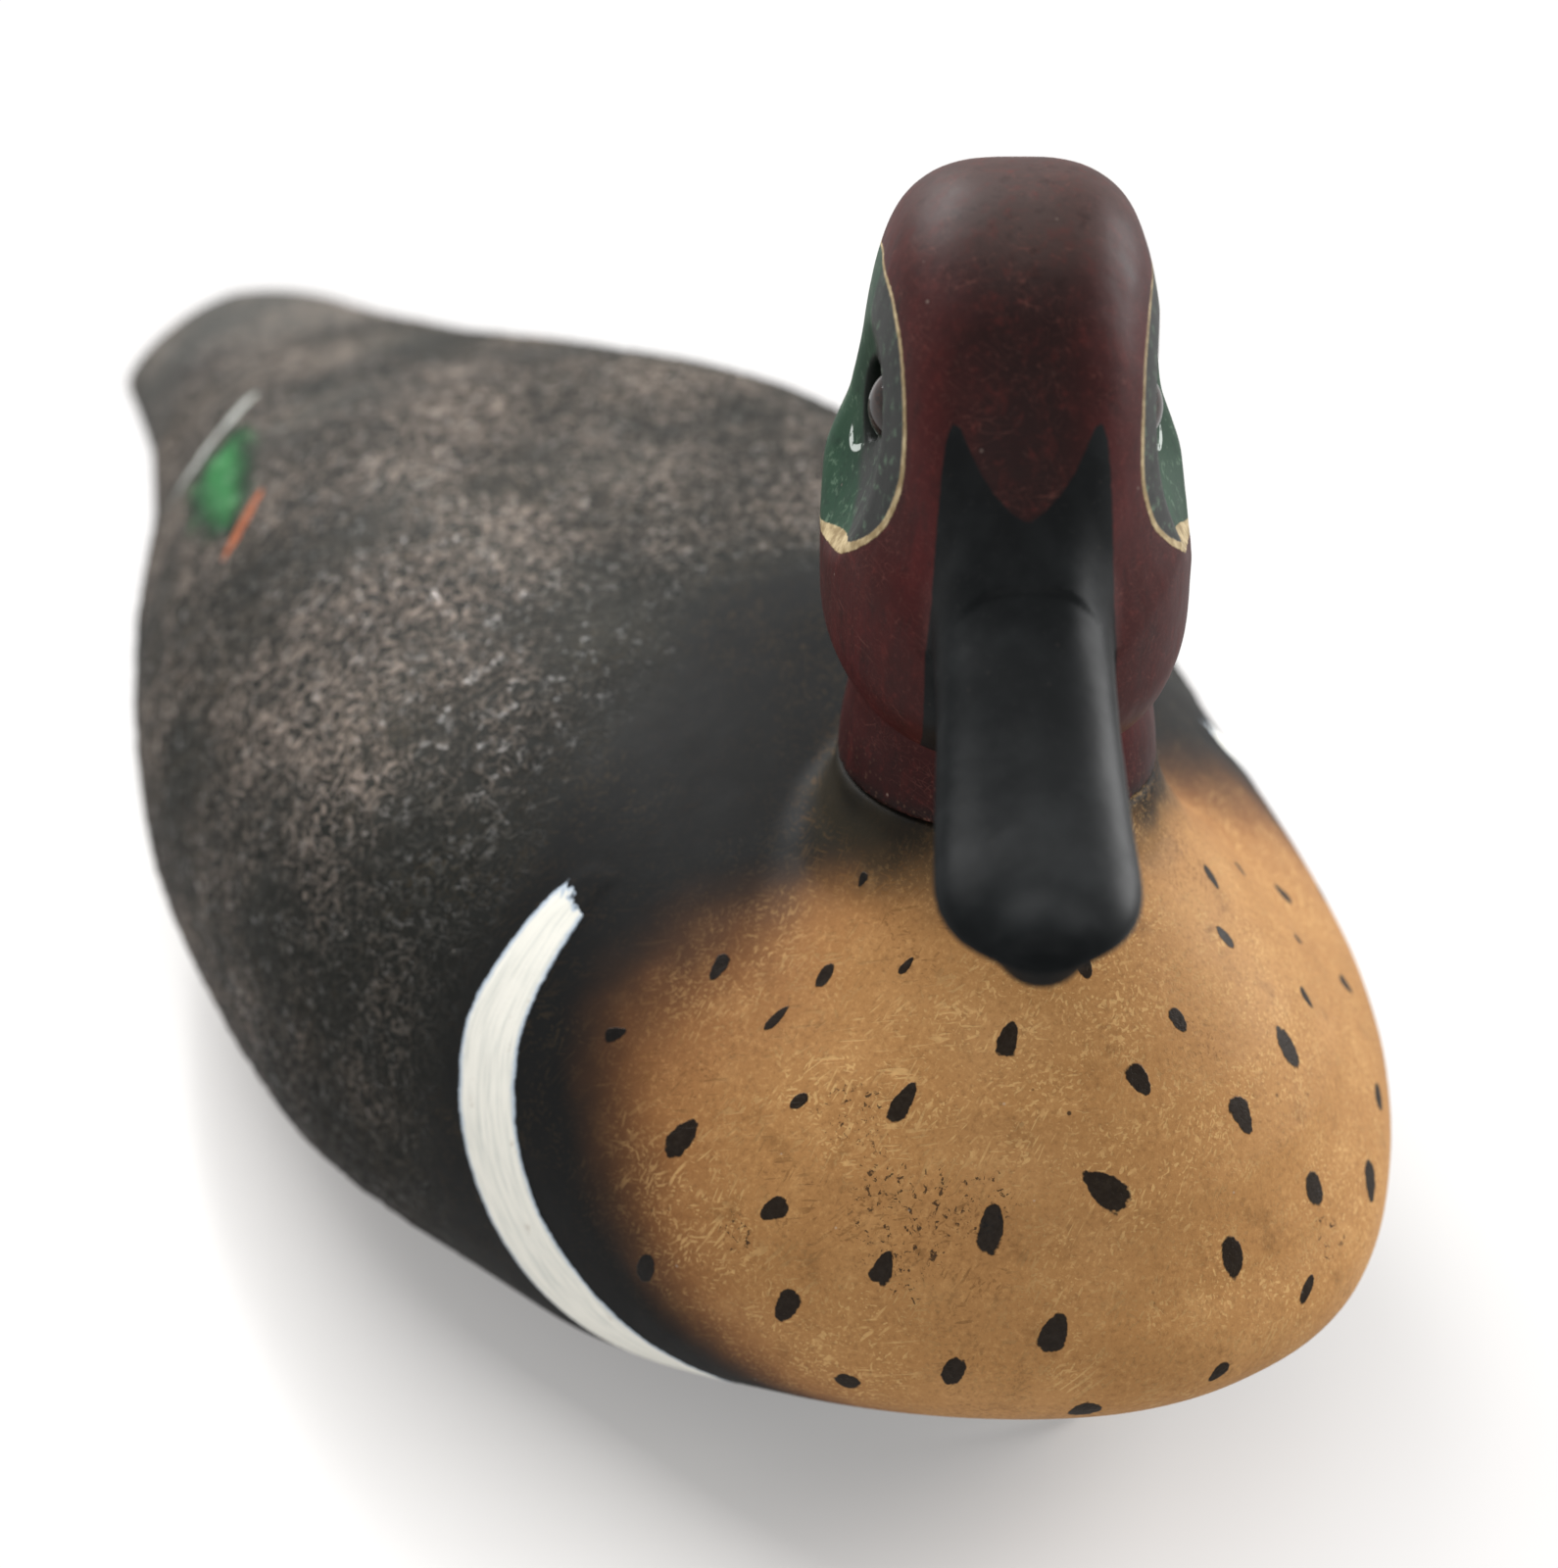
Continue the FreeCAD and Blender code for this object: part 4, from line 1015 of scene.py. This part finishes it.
def metal(name, bright, dark, rough, scale, stretch=(1, 1, 1), metallic=1.0, spots=None):
    tree = Tree(name)
    broad = tree.noise(scale, detail=4, rough=0.62, vector=tree.place(stretch))
    fine = tree.noise(scale * 4, detail=3, rough=0.6)

    def lighter(factor):
        return tuple(min(255, part * factor) for part in bright)

    tree.colour = tree.mix(broad.rise(0.35, 0.68), dark, bright)
    tree.coat(fine.rise(0.58, 0.72) * 0.3, lighter(1.18))
    if spots is not None:
        tree.coat(tree.cells(scale * 2.2).rise(0.16, 0.06) * 0.6, spots)
    scratch = tree.noise(scale * 3, detail=0,
                         vector=tree.turned((0.3, 0.2, 0.7), (1, 0.05, 1))).line(0.012)
    tree.coat(scratch * 0.25, lighter(1.3))
    return tree.finish(Metallic=metallic,
                       Roughness=broad.span(0.2, 0.8, low=rough + 0.12, high=rough - 0.06),
                       Normal=tree.bump(fine + scratch * -0.5, strength=0.5, depth=0.00010))


def wood_mat():
    tree = Tree("hardwood_mat")
    grain = tree.noise(160, detail=5, rough=0.6, vector=tree.place((1, 1, 0.08)))
    pores = tree.noise(1800, vector=tree.place((1, 1, 0.05)))
    tree.colour = tree.mix(grain.rise(0.35, 0.68), (146, 104, 62), (196, 156, 106))
    tree.coat(pores.rise(0.6, 0.7) * 0.5, (104, 70, 40))
    return tree.finish(Roughness=grain.span(0.2, 0.8, low=0.7, high=0.5),
                       Normal=tree.bump(pores, strength=0.5, depth=0.0001))


def nylon_mat():
    tree = Tree("nylon_mat")
    grain = tree.noise(500, detail=3, rough=0.6)
    rings = tree.noise(1600, detail=1, vector=tree.place((0.2, 0.2, 1)))
    tree.colour = tree.mix(grain.rise(0.4, 0.7), (22, 22, 23), (44, 44, 45))
    return tree.finish(Roughness=grain.span(0.2, 0.8, low=0.62, high=0.42),
                       Normal=tree.bump(rings, strength=0.3, depth=0.0001))


MATERIALS = {
    "body": body_paint(), "head": head_paint(), "lid": lid_paint(), "eye": eye_glass(),
    "wood": wood_mat(), "nylon": nylon_mat(),
    "lead": metal("lead_mat", bright=(120, 122, 125), dark=(78, 80, 84), rough=0.55,
                  scale=260.0, metallic=0.75, spots=(60, 60, 62)),
    "brass": metal("brass_mat", bright=(176, 138, 72), dark=(112, 84, 42), rough=0.36,
                   scale=420.0, spots=(74, 58, 36)),
    "steel": metal("steel_mat", bright=(172, 173, 175), dark=(120, 121, 124), rough=0.30,
                   scale=420.0, stretch=(1, 1, 0.2))}


# ---- Pieces
def link(name, data):
    ob = bpy.data.objects.new(name, data)
    bpy.context.scene.collection.objects.link(ob)
    return ob


def dress(mesh, attrs, material):
    """Smooth faces, point attributes and a material; 2-D data is colour."""
    mesh.polygons.foreach_set("use_smooth", np.ones(len(mesh.polygons), bool))
    for name, data in attrs.items():
        if data.ndim == 2:
            rgba = np.ones((len(data), 4), np.float32)
            rgba[:, :3] = np.clip(data, 0, 1)
            mesh.attributes.new(name, "FLOAT_COLOR", "POINT").data.foreach_set(
                "color", rgba.ravel())
        else:
            mesh.attributes.new(name, "FLOAT", "POINT").data.foreach_set(
                "value", np.asarray(data, np.float32))
    mesh.materials.append(material)


def make(name, verts, quads, attrs, material):
    mesh = bpy.data.meshes.new(name)
    mesh.vertices.add(len(verts))
    mesh.vertices.foreach_set("co", (verts / 1000).astype(np.float32).ravel())
    mesh.loops.add(quads.size)
    mesh.loops.foreach_set("vertex_index", quads.astype(np.int32).ravel())
    mesh.polygons.add(len(quads))
    mesh.polygons.foreach_set("loop_start", (np.arange(len(quads)) * 4).astype(np.int32))
    mesh.update(calc_edges=True)
    mesh.validate()
    dress(mesh, attrs, material)
    return link(name, mesh)


def register(ob, rides, replaces):
    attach(ob, rides)
    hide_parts(replaces)


def halve(ob, name, keep_top):
    """A copy of the body above or below the seam, closed across the cut with bare wood."""
    mesh = ob.data.copy()
    half = link(name, mesh)
    mesh.name = name
    bm = bmesh.new()
    bm.from_mesh(mesh)
    bmesh.ops.bisect_plane(bm, geom=bm.verts[:] + bm.edges[:] + bm.faces[:], dist=1e-6,
                           plane_co=(0, 0, SEAM / 1000), plane_no=(0, 0, 1),
                           clear_outer=not keep_top, clear_inner=keep_top)
    rim = [edge for edge in bm.edges if len(edge.link_faces) == 1]
    filled = bmesh.ops.triangle_fill(bm, use_beauty=True, use_dissolve=False, edges=rim,
                                     normal=(0, 0, -1 if keep_top else 1))
    for face in filled["geom"]:
        if isinstance(face, bmesh.types.BMFace):
            face.smooth = False
            face.material_index = 1
            if (face.normal.z > 0) == keep_top:
                face.normal_flip()
    for edge in rim:
        if edge.is_valid:   # the fill may have removed it
            edge.smooth = False
    bm.to_mesh(mesh)
    bm.free()
    mesh.update()
    mesh.materials.append(MATERIALS["wood"])
    return half


def texture_body(pts, normal, masks):
    """Carved curls on the back and flanks, none on the tail, wing patch or bar."""
    y, z = pts[:, 1:].T
    bar = masks["bar"]
    rough = ease((masks["cape"] + 4) / 10) * ease((z - 3) / 6)
    rough = rough * (1 - ease((y - 98) / 14) * ease((z - 40) / 10))
    rough = rough * (1 - ease((masks["green"] + 1.5) / 2)) * (1 - ease((bar + 1.0) / 1.5))
    warped = pts + 1.3 * np.stack([lumps(pts, 4, seed) for seed in (71, 72, 73)], 1)
    curls = np.maximum(1 - np.abs(lumps(warped, 2.3, seed=75)) / 0.28, 0) ** 1.2
    height = 0.20 * rough * (curls - 0.30) + 0.10 * rough * lumps(pts, 1.7, seed=77)
    # gentle unevenness everywhere above the bottom
    above = ease((z - 2) / 4)
    height = height + 0.10 * layered(pts, 18, seed=79, layers=2) * above
    height = height + 0.04 * lumps(pts, 6, seed=81) * above
    height = height * (z < NECK_Z - 0.6) + 0.10 * ease((bar + 0.2) / 0.6)
    skin = np.abs(outer_body(pts)) < 0.08
    return pts + normal * np.where(skin, height, 0)[:, None]


def build_body():
    verts, quads = surface(whole_body, (-74, -146, -3), (74, 148, 92),
                           cell=0.8, near=5.0)
    normal = normals(verts, quads)
    masks = paint_body(verts, normal)
    verts = texture_body(verts, normal, masks)
    whole = make("whole", verts, quads, masks, MATERIALS["body"])
    upper = halve(whole, "body_upper_carving", True)
    lower = halve(whole, "body_base_carving", False)
    bpy.data.objects.remove(whole)
    register(upper, "hull", "body_upper")
    register(lower, "hull", "body_base")


def seat_head(local):
    """From the head's frame, mirrored in y, to the body's, turned on the neck."""
    x, y, z = local.T
    cos, sin = math.cos(TURN), math.sin(TURN)
    return np.stack([x * cos + y * sin, NECK_Y + x * sin - y * cos, HEAD_Z + z], 1)


def build_head():
    verts, quads = surface(whole_head, (-23, -32, -2), (23, 66, 72),
                           cell=0.46, near=3.2)
    masks = paint_head(verts)
    tool = 0.05 * layered(verts, 7, seed=91, layers=2) + 0.02 * lumps(verts, 1.6, seed=92)
    height = tool * ease(verts[:, 2] / 2) * ease(verts[:, 2])
    verts = verts + normals(verts, quads) * height[:, None]
    # seating mirrors the head, so its faces are turned round
    head = make("head_carving", seat_head(verts), quads[:, ::-1], masks, MATERIALS["head"])
    register(head, "head", "head")


GLASS_ROUND, GLASS_ROWS = 72, 48   # vertices round the eye, and rows from pole to pole


def build_glass(name, side):
    """Glass eye: a ball about the x axis with a slightly proud cornea."""
    polar = np.linspace(0, math.pi, GLASS_ROWS)[1:-1, None]
    around = 2 * math.pi * np.arange(GLASS_ROUND) / GLASS_ROUND
    pole = EYE_RADIUS - 0.005
    radius = pole - 0.10 * ease((polar - 0.75) / 0.25) * ease((1.6 - polar) / 0.5)
    rows = np.stack(np.broadcast_arrays(
        radius * np.cos(polar), radius * np.sin(polar) * np.cos(around),
        radius * np.sin(polar) * np.sin(around)), -1).reshape(-1, 3)
    local = np.concatenate([[(pole, 0, 0)], rows, [(-pole, 0, 0)]])
    last = len(local) - 1
    last_row = last - GLASS_ROUND
    pairs = [(j, (j + 1) % GLASS_ROUND) for j in range(GLASS_ROUND)]
    faces = [(0, 1 + j, 1 + k) for j, k in pairs]
    faces += [(last, last_row + k, last_row + j) for j, k in pairs]
    for start in range(1, last_row, GLASS_ROUND):
        below = start + GLASS_ROUND
        faces += [(start + j, below + j, below + k, start + k) for j, k in pairs]
    if side > 0:
        faces = [face[::-1] for face in faces]
    mesh = bpy.data.meshes.new(name)
    placed = local * np.array([side, 1, 1]) + np.array([side * EYE_X, EYE_Y, EYE_Z])
    mesh.from_pydata((seat_head(placed) / 1000).tolist(), [], faces)
    mesh.update()
    x, y, z = local.T
    dress(mesh, {"iris": np.where(x > 0, np.hypot(y, z), 4.4), "angle": np.arctan2(z, y)},
          MATERIALS["eye"])
    ob = link(name, mesh)
    bm = bmesh.new()
    bm.from_mesh(mesh)
    bmesh.ops.recalc_face_normals(bm, faces=bm.faces)
    bm.to_mesh(mesh)
    bm.free()
    return ob


def build_eyes():
    verts, quads = surface(lid_field, (3.6, EYE_Y - 7, EYE_Z - 7),
                           (18.5, EYE_Y + 7, EYE_Z + 7), cell=0.2, near=1.4)
    rim = np.clip(almond(verts), -5, 5)
    for side, name in ((1, "left"), (-1, "right")):
        lid = make("eyelid_" + name, seat_head(verts * np.array([side, 1, 1])),
                   quads[:, ::-1] if side > 0 else quads, {"rim": rim}, MATERIALS["lid"])
        register(lid, "head", "eye_bed_" + name)
        glass = build_glass("eye_glass_" + name, side)
        register(glass, "head", "eye_" + name)


build_body()
build_head()
build_eyes()

# finishes of the CAD parts that stay
FINISHES = {"wood": ["seam_dowels"], "lead": ["ballast_pad"], "nylon": ["neck_disc"],
            "brass": ["ballast_screws", "tie_staple", "tie_ring", "neck_bushing", "head_insert"],
            "steel": ["neck_washer", "neck_spring", "neck_nut", "neck_stud"]}
for finish, parts in FINISHES.items():
    for part in parts:
        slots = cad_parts[part].data.materials
        slots.clear()
        slots.append(MATERIALS[finish])

# ---- Stage
# Brightness of the far floor and of the sky as light, and of both as the camera sees them
FAR_GLOW, SKY, SEEN_WHITE = 0.75, 0.55, 1.05


def floor_mat():
    """Pale floor that runs out to plain white away from the object."""
    tree = Tree("floor_mat")
    tree.colour = tree.mix(tree.noise(6, detail=3), [0.60, 0.585, 0.57], [0.68, 0.665, 0.65])
    tree.finish(Roughness=0.22, Specular_IOR_Level=0.25)
    x = tree.node("SeparateXYZ", {0: tree.coords})
    y = Signal(tree, x.socket.node.outputs[1])
    x = (x + 0.005) / 0.82
    y = y + 0.02
    radius = (x * x + y * y).math("SQRT")
    seen = tree.node("LightPath", output="Is Camera Ray")
    glow = tree.node("Emission", {"Color": [1.0, 0.985, 0.975],
                                  "Strength": seen.span(0, 1, FAR_GLOW, SEEN_WHITE)})
    share = radius.rise(0.090, 0.165).span(0, 1, low=0.26, high=1.0)
    shader = Signal(tree, tree.shader.outputs[0])
    tree.put(tree.output.inputs[0], tree.node("MixShader", {0: share, 1: shader, 2: glow}))
    return tree.material


bpy.ops.mesh.primitive_plane_add(size=8.0, location=(0, 0, -0.0002))
floor = bpy.context.object
floor.name = "floor"
floor.data.materials.append(floor_mat())

world = bpy.data.worlds.new("studio")
bpy.context.scene.world = world
world.use_nodes = True
nodes, links = world.node_tree.nodes, world.node_tree.links
light_path = nodes.new("ShaderNodeLightPath")
sky = nodes.new("ShaderNodeMapRange")
links.new(light_path.outputs["Is Camera Ray"], sky.inputs[0])
sky.inputs[3].default_value = SKY
sky.inputs[4].default_value = SEEN_WHITE
nodes["Background"].inputs[0].default_value = (1, 1, 1, 1)
links.new(sky.outputs[0], nodes["Background"].inputs[1])


def lamp(name, place, aim, size, power):
    """Square area light turned towards aim."""
    light = bpy.data.lights.new(name, "AREA")
    light.energy = power
    light.shape = "RECTANGLE"
    light.size = light.size_y = size
    ob = link(name, light)
    ob.location = place
    ob.rotation_mode = "QUATERNION"
    ob.rotation_quaternion = (Vector(aim) - Vector(place)).to_track_quat("-Z", "Y")


lamp("overhead", place=(-0.10, 0.62, 0.85), aim=(0, 0.0, 0.03), size=0.7, power=17.0)
lamp("front", place=(-0.75, -1.0, 0.28), aim=(0, -0.05, 0.05), size=0.6, power=2.6)
lamp("right", place=(1.10, -0.28, 0.58), aim=(0, -0.02, 0.05), size=0.7, power=19.0)

CAMERA_PLACE = Vector((-0.15911, -0.29962, 0.24312))
CAMERA_AIM = Vector((0.44530, 0.72324, -0.52786)).normalized()
CAMERA_ROLL = math.radians(-0.4)
lens = bpy.data.cameras.new("camera")
camera = link("camera", lens)
level = CAMERA_AIM.cross(Vector((0, 0, 1))).normalized()
upward = level.cross(CAMERA_AIM)
cos, sin = math.cos(CAMERA_ROLL), math.sin(CAMERA_ROLL)
axes = (level * cos + upward * sin, -level * sin + upward * cos, -CAMERA_AIM)
pose = Matrix(axes).transposed().to_4x4()
pose.translation = CAMERA_PLACE
camera.matrix_world = pose
lens.sensor_width = 36.0
lens.lens = 62.62
lens.clip_start = 0.01
lens.clip_end = 20
lens.dof.use_dof = True
lens.dof.focus_distance = 0.288
lens.dof.aperture_fstop = 12.5
bpy.context.scene.camera = camera
bpy.context.scene.view_settings.view_transform = "Standard"
